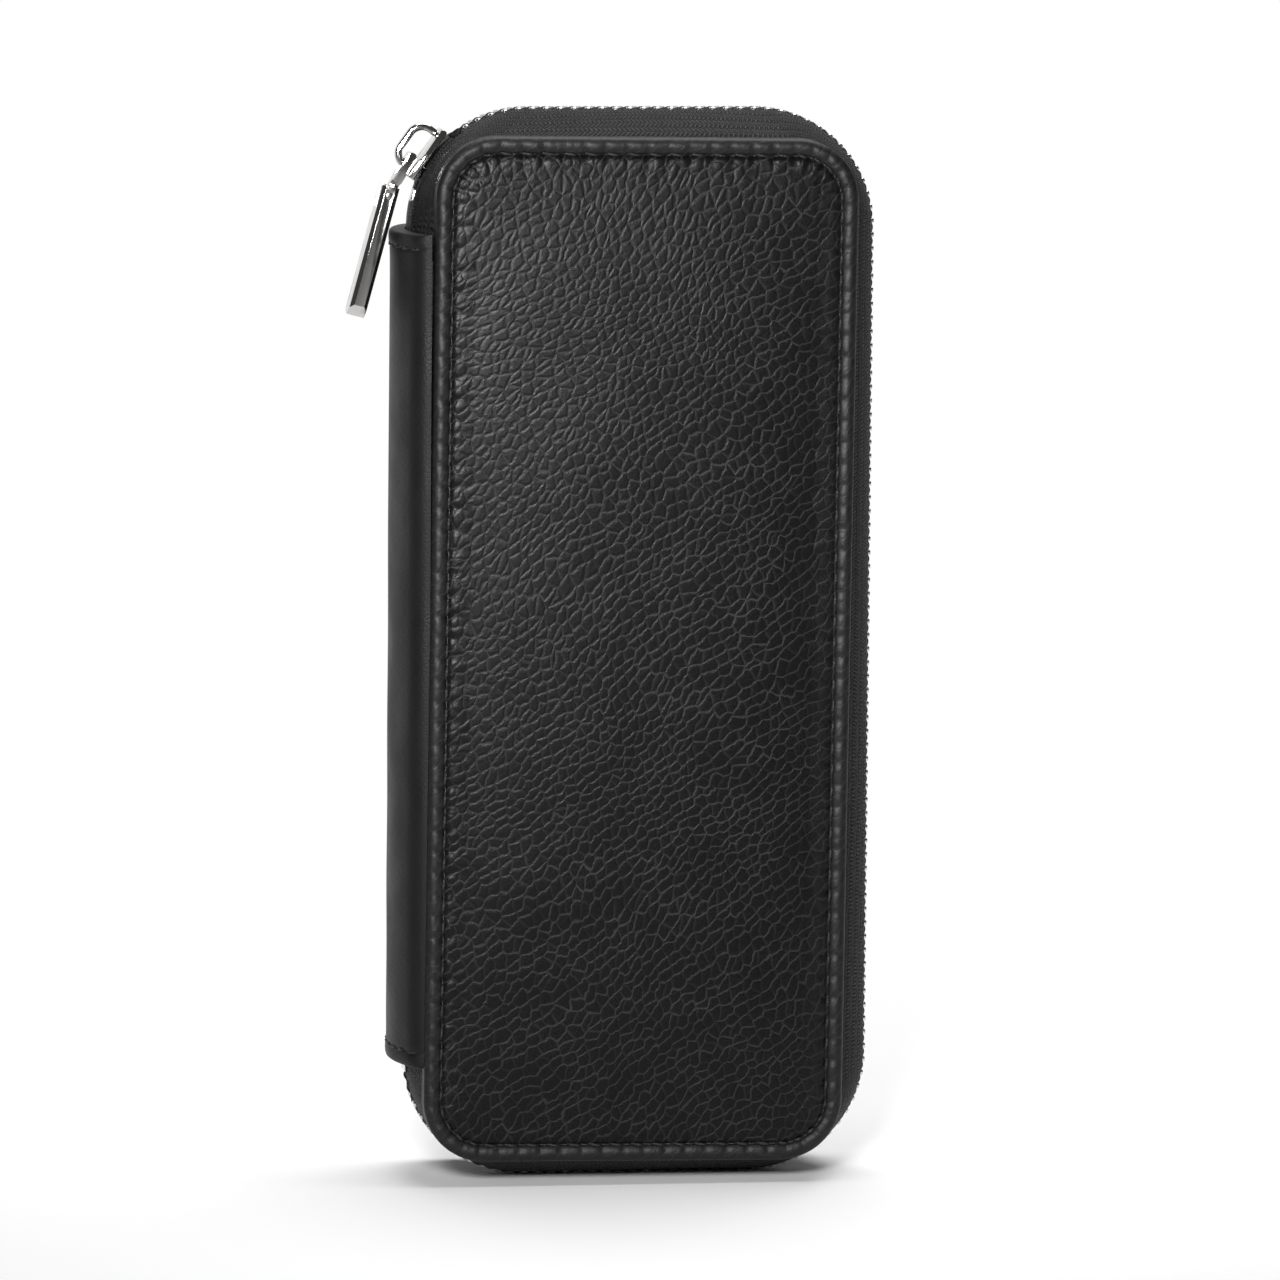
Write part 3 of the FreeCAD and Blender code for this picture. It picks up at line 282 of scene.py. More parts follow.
def new_piece(name, vertices, faces, slot, body=None, replaces=(), uvs=None, grain=None):
    """A smooth piece made of vertices and faces, with coordinates for a weave or an amount of grain."""
    mesh = bpy.data.meshes.new(name)
    mesh.from_pydata(vertices, [], faces)
    build = bmesh.new()
    build.from_mesh(mesh)
    bmesh.ops.recalc_face_normals(build, faces=build.faces)
    build.to_mesh(mesh)
    build.free()
    mesh.shade_smooth()
    if uvs is not None:
        corners = np.empty(len(mesh.loops), dtype=np.int32)
        mesh.loops.foreach_get("vertex_index", corners)
        layer = mesh.uv_layers.new(name="Weave")
        layer.uv.foreach_set("vector", np.asarray(uvs, dtype=np.float32)[corners].ravel())
    if grain is not None:
        mesh.attributes.new("grain", "FLOAT", "POINT").data.foreach_set("value", grain)
    return placed(name, mesh, slot, body, replaces)


def dress(node, slot):
    """Give a node of the frame that stays in sight its finish."""
    materials = frame["nodes"][node].data.materials
    materials.clear()
    materials.append(finish(slot))


def gathered(parts):
    """Several lots of vertices and faces as one."""
    vertices = []
    faces = []
    for part_vertices, part_faces in parts:
        base = len(vertices)
        vertices.extend(part_vertices)
        faces.extend(tuple(base + index for index in face) for face in part_faces)
    return vertices, faces


def lofted(rings):
    """Closed rings of points joined in order, with both ends closed."""
    count = len(rings[0])
    vertices = [point for ring in rings for point in ring]
    faces = []
    for row in range(len(rings) - 1):
        for index in range(count):
            after = (index + 1) % count
            base = row * count
            faces.append((base + index, base + after, base + count + after, base + count + index))
    faces.append(tuple(range(count)))
    faces.append(tuple(range(len(vertices) - count, len(vertices))))
    return vertices, faces


def heading(points, index):
    """The direction of a line of points at one of them."""
    ahead = points[min(index + 1, len(points) - 1)]
    behind = points[max(index - 1, 0)]
    return (ahead - behind).normalized()


def ring_at(outer, inner, z):
    """A closed ring at a height: along one face and back along the other."""
    return [Vector((point.x, point.y, z)) for point in outer + inner[::-1]]


def tube(points, radii, sides=8):
    """A closed tube along points, with a radius at each of them."""
    rings = []
    for index, point in enumerate(points):
        way = heading(points, index)
        if index == 0:
            across = way.orthogonal().normalized()
        else:
            across = (across - way * across.dot(way)).normalized()
        up = way.cross(across)
        ring = []
        for side in range(sides):
            turn = 2 * math.pi * side / sides
            ring.append(point + (across * math.cos(turn) + up * math.sin(turn)) * radii[index])
        rings.append(ring)
    return lofted(rings)


def sheet_mesh(sides, steps, rings, wave=None, face=None):
    """A closed sheet: rings of (inset, y) from its back, round its edge and on to its face.

    steps are the points along a long and a short side. wave gives what is added to y at an inset and a share
    of the outline, and face gives y at a point inside the last ring. The third list has each vertex's inset.
    """
    along, across = steps
    loop = []
    for side, count in zip(sides, (along, across, along, across)):
        loop.extend(spaced(side, count))
    total = len(loop)
    vertices = []
    insets = []
    for inset, y in rings:
        for index, (point, outward) in enumerate(loop):
            spot = point - outward * inset
            lift = wave(inset, index / total) if wave else 0.0
            vertices.append(Vector((spot.x, y + lift, spot.y)))
            insets.append(inset)
    faces = [tuple(range(total))]
    for row in range(len(rings) - 1):
        base = row * total
        for index in range(total):
            after = (index + 1) % total
            faces.append((base + index, base + after, base + total + after, base + total + index))
    base = (len(rings) - 1) * total
    places = {}
    for step in range(along + 1):
        places[0, step] = base + step
        places[across, step] = base + along + across + along - step
    for step in range(across + 1):
        places[step, along] = base + along + step
        places[step, 0] = base + (2 * along + 2 * across - step) % total
    last_inset, last_y = rings[-1]
    for row in range(1, along):
        up = row / along
        for column in range(1, across):
            over = column / across
            spot = (
                vertices[places[0, row]] * (1 - over) + vertices[places[across, row]] * over
                + vertices[places[column, 0]] * (1 - up) + vertices[places[column, along]] * up
                - vertices[places[0, 0]] * (1 - over) * (1 - up)
                - vertices[places[across, 0]] * over * (1 - up)
                - vertices[places[0, along]] * (1 - over) * up
                - vertices[places[across, along]] * over * up
            )
            y = face(spot.x, spot.z) if face else last_y
            places[column, row] = len(vertices)
            vertices.append(Vector((spot.x, y, spot.z)))
            insets.append(2 * last_inset)
    for row in range(along):
        for column in range(across):
            faces.append((
                places[column, row], places[column + 1, row],
                places[column + 1, row + 1], places[column, row + 1],
            ))
    return vertices, faces, insets


# Materials


def add(tree, kind, inputs=None, **settings):
    """A shader node with its settings, and with each input set to a value or joined to an output."""
    item = tree.nodes.new("ShaderNode" + kind)
    for name, value in settings.items():
        setattr(item, name, value)
    for name, value in (inputs or {}).items():
        if isinstance(value, bpy.types.NodeSocket):
            tree.links.new(value, item.inputs[name])
        else:
            item.inputs[name].default_value = value
    return item


def maths(tree, operation, first, second=0.0):
    return add(tree, "Math", {0: first, 1: second}, operation=operation).outputs[0]


def remap(tree, value, from_low, from_high, to_low, to_high):
    item = add(tree, "MapRange", {
        "Value": value, "From Min": from_low, "From Max": from_high, "To Min": to_low, "To Max": to_high,
    }, interpolation_type="SMOOTHSTEP")
    return item.outputs["Result"]


def blended(tree, share, first, second):
    """A colour between two colours."""
    item = add(tree, "Mix", {"Factor": share, "A": first, "B": second}, data_type="RGBA")
    return item.outputs["Result"]


def sized(tree, vector, size, turn=(0.0, 0.0, 0.0)):
    """Coordinates that grow by one over a size in metres, along turned axes."""
    item = add(tree, "Mapping", {"Vector": vector, "Rotation": turn, "Scale": size}, vector_type="TEXTURE")
    return item.outputs["Vector"]


def speckle(tree, vector, size, detail=2.0):
    """Noise from 0 to 1 whose lumps have about this size in metres."""
    return add(tree, "TexNoise", {"Vector": vector, "Scale": 1 / size, "Detail": detail}).outputs["Fac"]


def dented(tree, height, depth):
    """A bump normal for a height from 0 to 1 and its depth in metres."""
    return add(tree, "Bump", {"Height": height, "Distance": depth, "Strength": 1.0}).outputs["Normal"]


def four(rgb, gain=1.0):
    return (rgb[0] * gain, rgb[1] * gain, rgb[2] * gain, 1.0)


# Keeps these materials apart from the plain ones of the frame
FINISH_ENDING = "_finish"


def new_finish(name):
    """A material, its node tree, its shader and the case's own coordinates."""
    material = bpy.data.materials.new(name + FINISH_ENDING)
    material.use_nodes = True
    tree = material.node_tree
    shader = tree.nodes["Principled BSDF"]
    place = add(tree, "TexCoord").outputs["Object"]
    return material, tree, shader, place


def wire(tree, shader, **outputs):
    """Join outputs to the shader's sockets."""
    names = {
        "colour": "Base Color", "roughness": "Roughness", "normal": "Normal", "shine": "Specular IOR Level",
    }
    for key, output in outputs.items():
        tree.links.new(output, shader.inputs[names[key]])


def cells(tree, vector, feature="DISTANCE_TO_EDGE", output="Distance"):
    """Leather cells about one unit across in a plane: by default, how far a point is from its cell's edge."""
    item = add(tree, "TexVoronoi", {"Vector": vector, "Scale": 1.0, "Randomness": 0.8},
               feature=feature, voronoi_dimensions="2D")
    return item.outputs[output]


def laid_flat(tree, place):
    """Coordinates in the plane of the covers."""
    parts = add(tree, "SeparateXYZ", {"Vector": place}).outputs
    return add(tree, "CombineXYZ", {"X": parts["X"], "Y": parts["Z"]}).outputs[0]


def slanted(tree, vector, slant):
    """Flat coordinates whose rows slide along by a slant for each unit across."""
    parts = add(tree, "SeparateXYZ", {"Vector": vector}).outputs
    along = maths(tree, "ADD", parts["X"], maths(tree, "MULTIPLY", parts["Y"], slant))
    return add(tree, "CombineXYZ", {"X": along, "Y": parts["Y"]}).outputs[0]


def wandering(tree, place, size, reach):
    """Coordinates pushed about by noise of a size, by up to a reach."""
    push = add(tree, "TexNoise", {"Vector": place, "Scale": 1 / size, "Detail": 2.0}).outputs["Color"]
    push = add(tree, "VectorMath", {0: push, 1: (0.5, 0.5, 0.5)}, operation="SUBTRACT").outputs[0]
    push = add(tree, "VectorMath", {0: push, "Scale": 2 * reach}, operation="SCALE").outputs[0]
    return add(tree, "VectorMath", {0: place, 1: push}, operation="ADD").outputs[0]


def weighed(tree, *pairs):
    """The sum of outputs, each times its weight."""
    total = maths(tree, "MULTIPLY", *pairs[0])
    for output, weight in pairs[1:]:
        total = maths(tree, "ADD", total, maths(tree, "MULTIPLY", output, weight))
    return total


# Sizes of the leather's cells along and across their rows, and how the rows are turned
CELL_SIZE = (2.1 * MM, 1.6 * MM, MM)
CELL_SLANT = -0.25
CREASE_TURN = (0.0, 0.0, math.radians(36))
FINE_SIZE = (0.8 * MM, 0.55 * MM, MM)
FINE_TURN = (0.0, 0.0, math.radians(-50))
SMOOTH_SIZE = (0.9 * MM, 0.7 * MM, MM)
PORE_SIZE = 0.3 * MM


def row_of_cell(tree, spot, feature):
    """The row, along the creases, of the nearest cell or of the next nearest one."""
    middle = add(tree, "SeparateXYZ", {"Vector": cells(tree, spot, feature, "Position")}).outputs
    return maths(tree, "FLOOR", middle["Y"])


def grained_leather():
    """Black pebbled leather: glossy cells in rows, with dull creases that are deepest between the rows. The
    creases are painted lighter than the cells, as a painted highlight for light caught on their walls.
    """
    leather = bpy.context.scene.pen_case_leather
    material, tree, shader, place = new_finish("grained_leather")
    amount = add(tree, "Attribute", attribute_name="grain").outputs["Fac"]
    # Rows of cells that wander over the cover, with edges that waver
    moved = laid_flat(tree, place)
    for size, reach in ((50 * MM, 6 * MM), (2.0 * MM, 0.5 * MM), (0.9 * MM, 0.25 * MM)):
        moved = wandering(tree, moved, size, reach)
    spot = slanted(tree, sized(tree, moved, CELL_SIZE, CREASE_TURN), CELL_SLANT)
    edge = cells(tree, spot)
    # Creases between the cells, stronger where the cells lie in different rows
    rows_apart = maths(tree, "SUBTRACT", row_of_cell(tree, spot, "F1"), row_of_cell(tree, spot, "F2"))
    long_crease = maths(tree, "GREATER_THAN", maths(tree, "ABSOLUTE", rows_apart), 0.5)
    patchy = remap(tree, speckle(tree, place, 7 * MM), 0.35, 0.65, 0.2, 0.5)
    strength = maths(tree, "ADD", maths(tree, "MULTIPLY", long_crease, 0.45), patchy)
    creases = maths(tree, "MULTIPLY", remap(tree, edge, 0.0, 0.13, 1.0, 0.0), strength)
    fine_edge = cells(tree, sized(tree, moved, FINE_SIZE, FINE_TURN))
    wrinkles = maths(tree, "MULTIPLY", remap(tree, fine_edge, 0.0, 0.18, 0.4, 0.0), patchy)
    net = maths(tree, "MAXIMUM", maths(tree, "MULTIPLY", creases, amount), wrinkles)
    domes = maths(tree, "MULTIPLY", remap(tree, edge, 0.0, 0.32, 0.0, 1.0), amount)
    pores = speckle(tree, place, PORE_SIZE, 3.0)
    relief = weighed(tree, (domes, 0.22), (net, -0.2), (pores, 0.06))
    # The rim has little grain, and a broader and softer shine than the field
    dullness = remap(tree, amount, 0.45, 0.7, 0.5, 0.35)
    shine = remap(tree, amount, 0.45, 0.7, 0.28, 0.12)
    roughness = maths(tree, "MAXIMUM", remap(tree, net, 0.0, 1.0, 0.28, 0.65), dullness)
    # The creases and fine wrinkles are painted lighter than the cells: painted highlight for the light on the
    # crease walls
    tint = blended(tree, net, four(leather.grain_colour), four(leather.painted_crease_highlight))
    normal = dented(tree, relief, 0.13 * MM)
    wire(tree, shader, colour=tint, roughness=roughness, shine=shine, normal=normal)
    return material


def smooth_leather():
    """Black leather with a fine grain and a satin face."""
    rgb = bpy.context.scene.pen_case_leather.smooth_colour
    material, tree, shader, place = new_finish("smooth_leather")
    spot = sized(tree, laid_flat(tree, place), SMOOTH_SIZE, CREASE_TURN)
    grain = remap(tree, cells(tree, spot), 0.0, 0.25, 0.0, 1.0)
    rubbed = speckle(tree, place, 9 * MM, 4.0)
    pores = speckle(tree, place, PORE_SIZE, 3.0)
    height = weighed(tree, (grain, 0.4), (pores, 0.6))
    shader.inputs["Specular IOR Level"].default_value = 0.15
    roughness = remap(tree, rubbed, 0.3, 0.7, 0.46, 0.56)
    tint = blended(tree, rubbed, four(rgb, 0.75), four(rgb, 1.25))
    wire(tree, shader, colour=tint, roughness=roughness, normal=dented(tree, height, 0.035 * MM))
    return material


def zip_tape():
    """Woven tape: rows of slanting yarns that change direction from row to row. The raised yarns are painted
    lighter and the hollows darker: painted highlight and painted shade.
    """
    rgb = bpy.context.scene.pen_case_zip.tape_colour
    material, tree, shader, place = new_finish("zip_tape")
    weave = add(tree, "UVMap", uv_map="Weave").outputs["UV"]
    flat = add(tree, "SeparateXYZ", {"Vector": weave}).outputs
    row_width = 1.15 * MM
    yarn_width = 0.62 * MM
    row = maths(tree, "DIVIDE", flat["Y"], row_width)
    inside = maths(tree, "FRACT", row)
    odd = maths(tree, "FLOORED_MODULO", maths(tree, "FLOOR", row), 2.0)
    way = maths(tree, "SUBTRACT", maths(tree, "MULTIPLY", odd, 2.0), 1.0)
    slant = maths(tree, "MULTIPLY", maths(tree, "MULTIPLY", inside, way), 0.9)
    yarn = maths(tree, "ADD", maths(tree, "DIVIDE", flat["X"], yarn_width), slant)
    loops = remap(tree, maths(tree, "PINGPONG", yarn, 0.5), 0.0, 0.4, 0.0, 1.0)
    ribs = maths(tree, "SINE", maths(tree, "MULTIPLY", inside, math.pi))
    fuzz = speckle(tree, place, 0.22 * MM, 3.0)
    yarns = maths(tree, "MULTIPLY", loops, remap(tree, ribs, 0.0, 0.7, 0.2, 1.0))
    height = weighed(tree, (yarns, 0.8), (fuzz, 0.35))
    # Painted highlight on the raised yarns, stronger in patches, and painted shade in the hollows between
    # them
    highlight_patches = speckle(tree, place, 6 * MM, 3.0)
    raised = remap(tree, height, 0.2, 1.0, 0.0, 1.0)
    painted_yarn_highlight = maths(tree, "MULTIPLY", raised, remap(tree, highlight_patches, 0.3, 0.7, 0.5, 1.0))
    tint = blended(tree, painted_yarn_highlight, four(rgb, 0.25), four(rgb, 2.4))
    shader.inputs["Specular IOR Level"].default_value = 0.25
    roughness = remap(tree, fuzz, 0.3, 0.7, 0.5, 0.75)
    wire(tree, shader, colour=tint, roughness=roughness, normal=dented(tree, height, 0.26 * MM))
    return material


def metal(name, rgb, low, high, depth):
    """Plated metal with faint smears and fine scratches."""
    material, tree, shader, place = new_finish(name)
    shader.inputs["Metallic"].default_value = 1.0
    smears = speckle(tree, place, 2.4 * MM, 4.0)
    drawn_out = sized(tree, place, (0.06 * MM, 0.06 * MM, 2.0 * MM), (0.0, 0.3, 0.0))
    scratches = speckle(tree, drawn_out, 1.0, 2.0)
    roughness = remap(tree, smears, 0.35, 0.7, low, high)
    tint = blended(tree, smears, four(rgb, 0.92), four(rgb, 1.06))
    wire(tree, shader, colour=tint, roughness=roughness, normal=dented(tree, scratches, depth))
    return material


def nickel():
    return metal("nickel", bpy.context.scene.pen_case_metal.nickel_colour, 0.05, 0.14, 0.002 * MM)


def zip_teeth():
    return metal("zip_teeth", bpy.context.scene.pen_case_zip.tooth_colour, 0.14, 0.3, 0.004 * MM)


def thread():
    """Waxed black thread with its twist, painted lighter on the strands' crowns and darker in the grooves
    between them: painted highlight and painted shade.
    """
    rgb = bpy.context.scene.pen_case_leather.smooth_colour
    material, tree, shader, place = new_finish("thread")
    strand = 0.35 * MM
    strands = sized(tree, place, (strand, strand, strand), (0.4, 0.7, 0.2))
    waves = {"Vector": strands, "Scale": 0.32, "Distortion": 1.0, "Detail": 1.0}
    twist = add(tree, "TexWave", waves).outputs["Fac"]
    # Painted shade in the twist's grooves and painted highlight on its crowns, following the bump
    tint = blended(tree, twist, four(rgb, 0.4), four(rgb, 1.5))
    roughness = remap(tree, twist, 0.0, 1.0, 0.7, 0.5)
    wire(tree, shader, colour=tint, roughness=roughness, normal=dented(tree, twist, 0.06 * MM))
    return material


def woven(name, rgb, across, along):
    """Cloth whose yarns cross: ribs along one axis over finer ribs along the other. The raised yarns are
    painted lighter and the hollows darker: painted highlight and painted shade.
    """
    material, tree, shader, place = new_finish(name)
    flat = add(tree, "SeparateXYZ", {"Vector": place}).outputs
    slant = maths(tree, "ADD", flat["X"], flat["Y"])
    first = maths(tree, "PINGPONG", maths(tree, "DIVIDE", flat["Z"], along), 0.5)
    drift = maths(tree, "DIVIDE", flat["Z"], along * 2)
    lean = maths(tree, "ADD", maths(tree, "DIVIDE", slant, across), drift)
    second = maths(tree, "PINGPONG", lean, 0.5)
    fuzz = speckle(tree, place, 0.2 * MM, 3.0)
    height = weighed(tree, (first, 1.1), (second, 0.7), (fuzz, 0.3))
    # Painted highlight on the raised yarns and painted shade in the hollows, following the bump
    tint = blended(tree, remap(tree, height, 0.2, 1.0, 0.0, 1.0), four(rgb, 0.55), four(rgb, 1.4))
    shader.inputs["Sheen Weight"].default_value = 0.15
    shader.inputs["Sheen Roughness"].default_value = 0.5
    roughness = remap(tree, fuzz, 0.3, 0.7, 0.75, 0.92)
    wire(tree, shader, colour=tint, roughness=roughness, normal=dented(tree, height, 0.1 * MM))
    return material


def lining_cloth():
    return woven("lining_cloth", bpy.context.scene.pen_case_inside.lining_colour, 0.5 * MM, 0.5 * MM)


def elastic():
    return woven("elastic", bpy.context.scene.pen_case_inside.elastic_colour, 0.45 * MM, 0.75 * MM)


def board():
    """Grey-brown stiffening board with short fibres."""
    rgb = bpy.context.scene.pen_case_inside.board_colour
    material, tree, shader, place = new_finish("board")
    drawn_out = sized(tree, place, (2.5 * MM, 0.4 * MM, 0.5 * MM), (0.0, 0.5, 0.0))
    fibres = speckle(tree, drawn_out, 1.0, 4.0)
    flecks = speckle(tree, place, 1.2 * MM, 2.0)
    tint = blended(tree, fibres, four(rgb, 0.75), four(rgb, 1.15))
    roughness = remap(tree, flecks, 0.3, 0.7, 0.8, 0.95)
    wire(tree, shader, colour=tint, roughness=roughness, normal=dented(tree, fibres, 0.05 * MM))
    return material


def table_top():
    """The pale floor, very slightly clouded. Away from the case it is seen as plain white."""
    rgb = bpy.context.scene.pen_case_stage.floor_colour
    material, tree, shader, place = new_finish("table_top")
    cloud = speckle(tree, place, 0.3, 2.0)
    tint = blended(tree, cloud, four(rgb, 0.98), four(rgb, 1.02))
    wire(tree, shader, colour=tint, roughness=remap(tree, cloud, 0.3, 0.7, 0.75, 0.85))
    rays = add(tree, "LightPath").outputs
    mirrored = maths(tree, "MAXIMUM", rays["Is Glossy Ray"], rays["Is Transmission Ray"])
    depth = add(tree, "SeparateXYZ", {"Vector": place}).outputs["Y"]
    behind = maths(tree, "MULTIPLY", mirrored, remap(tree, depth, 0.12, 0.4, 0.0, 1.0))
    reach = add(tree, "VectorMath", {0: place}, operation="LENGTH").outputs["Value"]
    away = maths(tree, "MULTIPLY", rays["Is Camera Ray"], remap(tree, reach, 0.07, 0.22, 0.0, 1.0))
    share = maths(tree, "MAXIMUM", away, behind)
    white = add(tree, "Emission", {"Color": (1.0, 1.0, 1.0, 1.0), "Strength": 1.0}).outputs[0]
    mixed = add(tree, "MixShader", {0: share, 1: shader.outputs[0], 2: white}).outputs[0]
    tree.links.new(mixed, tree.nodes["Material Output"].inputs["Surface"])
    return material


FINISHES = {
    "grained_leather": grained_leather, "smooth_leather": smooth_leather, "zip_tape": zip_tape,
    "zip_teeth": zip_teeth, "nickel": nickel, "thread": thread, "lining_cloth": lining_cloth,
    "elastic": elastic, "board": board, "table_top": table_top,
}


def finish(name):
    """The material of that name, made when it is first asked for."""
    return bpy.data.materials.get(name + FINISH_ENDING) or FINISHES[name]()


# Leather covers and their stitches


def leaned(side, points):
    """Points of one half, turned a little in the plane of its cover where that half sits askew."""
    if side == REAR:
        return points
    lean = bpy.context.scene.pen_case_leather.front_lean
    middle = Vector((0.0, 0.0, PANEL_MIDDLE))
    turn = Matrix.Rotation(lean, 3, "Y")
    return [turn @ (point - middle) + middle for point in points]


def cover_sides():
    corner = bpy.context.scene.pen_case_leather.corner
    return rounded_sides(PANEL_LOW, PANEL_HIGH, corner)


def stitch_total():
    """How many stitches go round a cover, and the length of its outline."""
    leather = bpy.context.scene.pen_case_leather
    outline = sum(total_length(side) for side in cover_sides())
    line = outline - 2 * math.pi * leather.stitch_inset
    return round(line / leather.stitch_pitch), outline


# The turned-down edge in millimetres: how far in from the cover's edge, and how far above its foot
TURNED_EDGE = [(1.2, 0.0), (0.25, 0.0), (0.0, 0.3), (0.0, 1.45), (0.14, 1.62), (0.0, 1.8)]
# From the rim across the stitches to the field, in millimetres: how far in from the stitches, and how deep
STITCH_GROOVE = [
    (-1.05, 0.13), (-0.78, 0.2), (-0.52, 0.3), (-0.28, 0.45), (-0.12, 0.68), (0.0, 0.9),
    (0.22, 0.8), (0.5, 0.58), (0.9, 0.47), (1.5, 0.42), (2.4, 0.4), (3.6, 0.38),
]
GROOVE_DEPTH = max(depth for offset, depth in STITCH_GROOVE) * MM
# The rolled rim: its width, its height and how deep it lies under the cover's highest face
ROLL_WIDTH = 1.35 * MM
ROLL_HEIGHT = 1.15 * MM
ROLL_DEPTH = 0.1 * MM
ROLL_STEPS = 8


def cover_rings(side):
    """The cover's section, from its turned-down edge over the rim and the stitch line to the padded field."""
    stitch = bpy.context.scene.pen_case_leather.stitch_inset
    section = [(inset * MM, FACE_Y - SKIRT_Y - rise * MM) for inset, rise in TURNED_EDGE]
    for step in range(ROLL_STEPS + 1):
        turn = math.radians(90 * step / ROLL_STEPS)
        section.append((ROLL_WIDTH * (1 - math.cos(turn)), ROLL_DEPTH + ROLL_HEIGHT * (1 - math.sin(turn))))
    for offset, depth in STITCH_GROOVE:
        section.append((stitch + offset * MM, depth * MM))
    return [(inset, side * (FACE_Y - depth)) for inset, depth in section]


def cover(side):
    """A padded cover with a rolled rim, drawn in at each stitch hole."""
    leather = bpy.context.scene.pen_case_leather
    holes, outline = stitch_total()
    rings = cover_rings(side)
    rim_reach = 1.9 * MM
    field_reach = 1.45 * MM
    wrinkle = 0.09 * MM
    lump_size = 19 * MM
    lump_height = 0.16 * MM
    rim_grain = 0.45
    half_wide = PANEL_HIGH.x - rings[-1][0]
    half_tall = (PANEL_HIGH.z - PANEL_LOW.z) / 2 - rings[-1][0]

    def drawn_in(inset, share):
        # Each hole draws the leather in by its own amount
        pinch = max(0.0, math.cos(2 * math.pi * share * holes)) ** 3
        pinch *= 0.75 + 0.5 * noise.noise(Vector((round(share * holes) * 0.7, side, 2.0)))
        reach = field_reach if inset > leather.stitch_inset else rim_reach
        near = math.exp(-(((inset - leather.stitch_inset) / reach) ** 2))
        ripple = noise.noise(Vector((share * outline / (1.6 * MM), inset / (3 * MM), side)))
        pulled = pinch * near * leather.pucker
        rippled = ripple * wrinkle * smooth_step(0.2 * MM, 1.0 * MM, inset)
        return -side * (pulled + rippled)

    def padded(x, z):
        over = min(abs(x) / half_wide, 1.0)
        up = min(abs(z - PANEL_MIDDLE) / half_tall, 1.0)
        room = (1 - over ** 2.6) * (1 - up ** 4)
        lumps = noise.noise(Vector((x / lump_size, z / lump_size, side * 3.0))) * lump_height
        return rings[-1][1] + side * (leather.crown * room + lumps * min(1.0, 4 * room))

    steps = (320, 130)
    vertices, faces, insets = sheet_mesh(cover_sides(), steps, rings, drawn_in, padded)
    # The grain is faint on the rim, and drawn flat towards the edge away from the spine
    grain = []
    for vertex, inset in zip(vertices, insets):
        field = smooth_step(leather.stitch_inset - 0.4 * MM, leather.stitch_inset + 1.0 * MM, inset)
        drawn_flat = smooth_step(PANEL_HIGH.x - 14 * MM, PANEL_HIGH.x - 4 * MM, vertex.x)
        grain.append(rim_grain + (1 - rim_grain) * field * (1 - 0.7 * drawn_flat))
    name = SIDE_NAMES[side]
    piece = new_piece(
        name + "_cover", leaned(side, vertices), faces, "grained_leather", SIDE_BODIES[side],
        (name + "_leather", name + "_padding"), grain=grain,
    )


# How much of a stitch's pitch is left open at each of its ends
STITCH_GAP = 0.14


def stitch_thread(start, finish_point, dip, lift, radius):
    """One stitch: a thread that rises out of its hole, lies on the leather and dips into the next hole."""
    points = []
    radii = []
    steps = 8
    thin_end = 0.55
    for step in range(steps + 1):
        share = step / steps
        arch = math.sin(math.pi * share) ** 0.6
        points.append(start.lerp(finish_point, share) + dip * (1 - arch) + lift * arch)
        radii.append(radius * (thin_end + (1 - thin_end) * arch))
    return tube(points, radii)


def stitched_line(line, count, inset, y, outward_y, slant, radius):
    """Stitches along an outline, inset from it, lying at a height y and leaning across the line."""
    span = total_length(line) / count
    dip = Vector((0.0, -outward_y * 2.2 * radius, 0.0))
    lift = Vector((0.0, outward_y * 0.5 * radius, 0.0))
    parts = []
    for index in range(count):
        ends = []
        for share, lean in ((STITCH_GAP, -slant), (1 - STITCH_GAP, slant)):
            point, outward = at_distance(line, (index + share) * span)
            spot = point - outward * (inset + lean)
            ends.append(Vector((spot.x, y, spot.y)))
        parts.append(stitch_thread(*ends, dip, lift, radius))
    return gathered(parts)


def cover_stitches(side):
    """The stitches round a cover, sunk in their groove."""
    leather = bpy.context.scene.pen_case_leather
    holes = stitch_total()[0]
    line = [stretch for edge in cover_sides() for stretch in edge]
    radius = leather.thread_radius
    slant = 0.14 * MM
    y = side * (FACE_Y - GROOVE_DEPTH + 0.6 * radius)
    vertices, faces = stitched_line(line, holes, leather.stitch_inset, y, side, slant, radius)
    name = SIDE_NAMES[side]
    new_piece(
        name + "_stitches", leaned(side, vertices), faces, "thread", SIDE_BODIES[side],
        (name + "_stitching",),
    )


# Zip tape, its tail and the teeth


def crown_path():
    """Where the teeth run: the outside of the tape, open at the spine."""
    zip_sizes = bpy.context.scene.pen_case_zip
    return ridge_path(
        TAPE_LOW.x, TAPE_HIGH.x, zip_sizes.ridge_low, TAPE_HIGH.z, zip_sizes.ridge_corner,
        SPINE_HIGH.z - zip_sizes.tuck, SPINE_LOW.z + zip_sizes.tuck,
    )


def foot_path():
    """Where the tape leaves the cover."""
    zip_sizes = bpy.context.scene.pen_case_zip
    inset = zip_sizes.tape_inset
    return ridge_path(
        PANEL_LOW.x + inset, PANEL_HIGH.x - inset, PANEL_LOW.z + inset, PANEL_HIGH.z - inset,
        bpy.context.scene.pen_case_leather.corner - inset,
        SPINE_HIGH.z - zip_sizes.tuck, SPINE_LOW.z + zip_sizes.tuck,
    )


def notch_distance():
    """How far along the crown the gap round the slider's tail reaches."""
    zip_sizes = bpy.context.scene.pen_case_zip
    return crown_path()[0][0] + zip_sizes.ridge_corner * zip_sizes.notch_angle


def first_tooth(side):
    """Distance of a row's first tooth along the crown. The rows stand half a pitch apart."""
    share = 0.75 if side == FRONT else 1.25
    return notch_distance() + share * bpy.context.scene.pen_case_zip.pitch


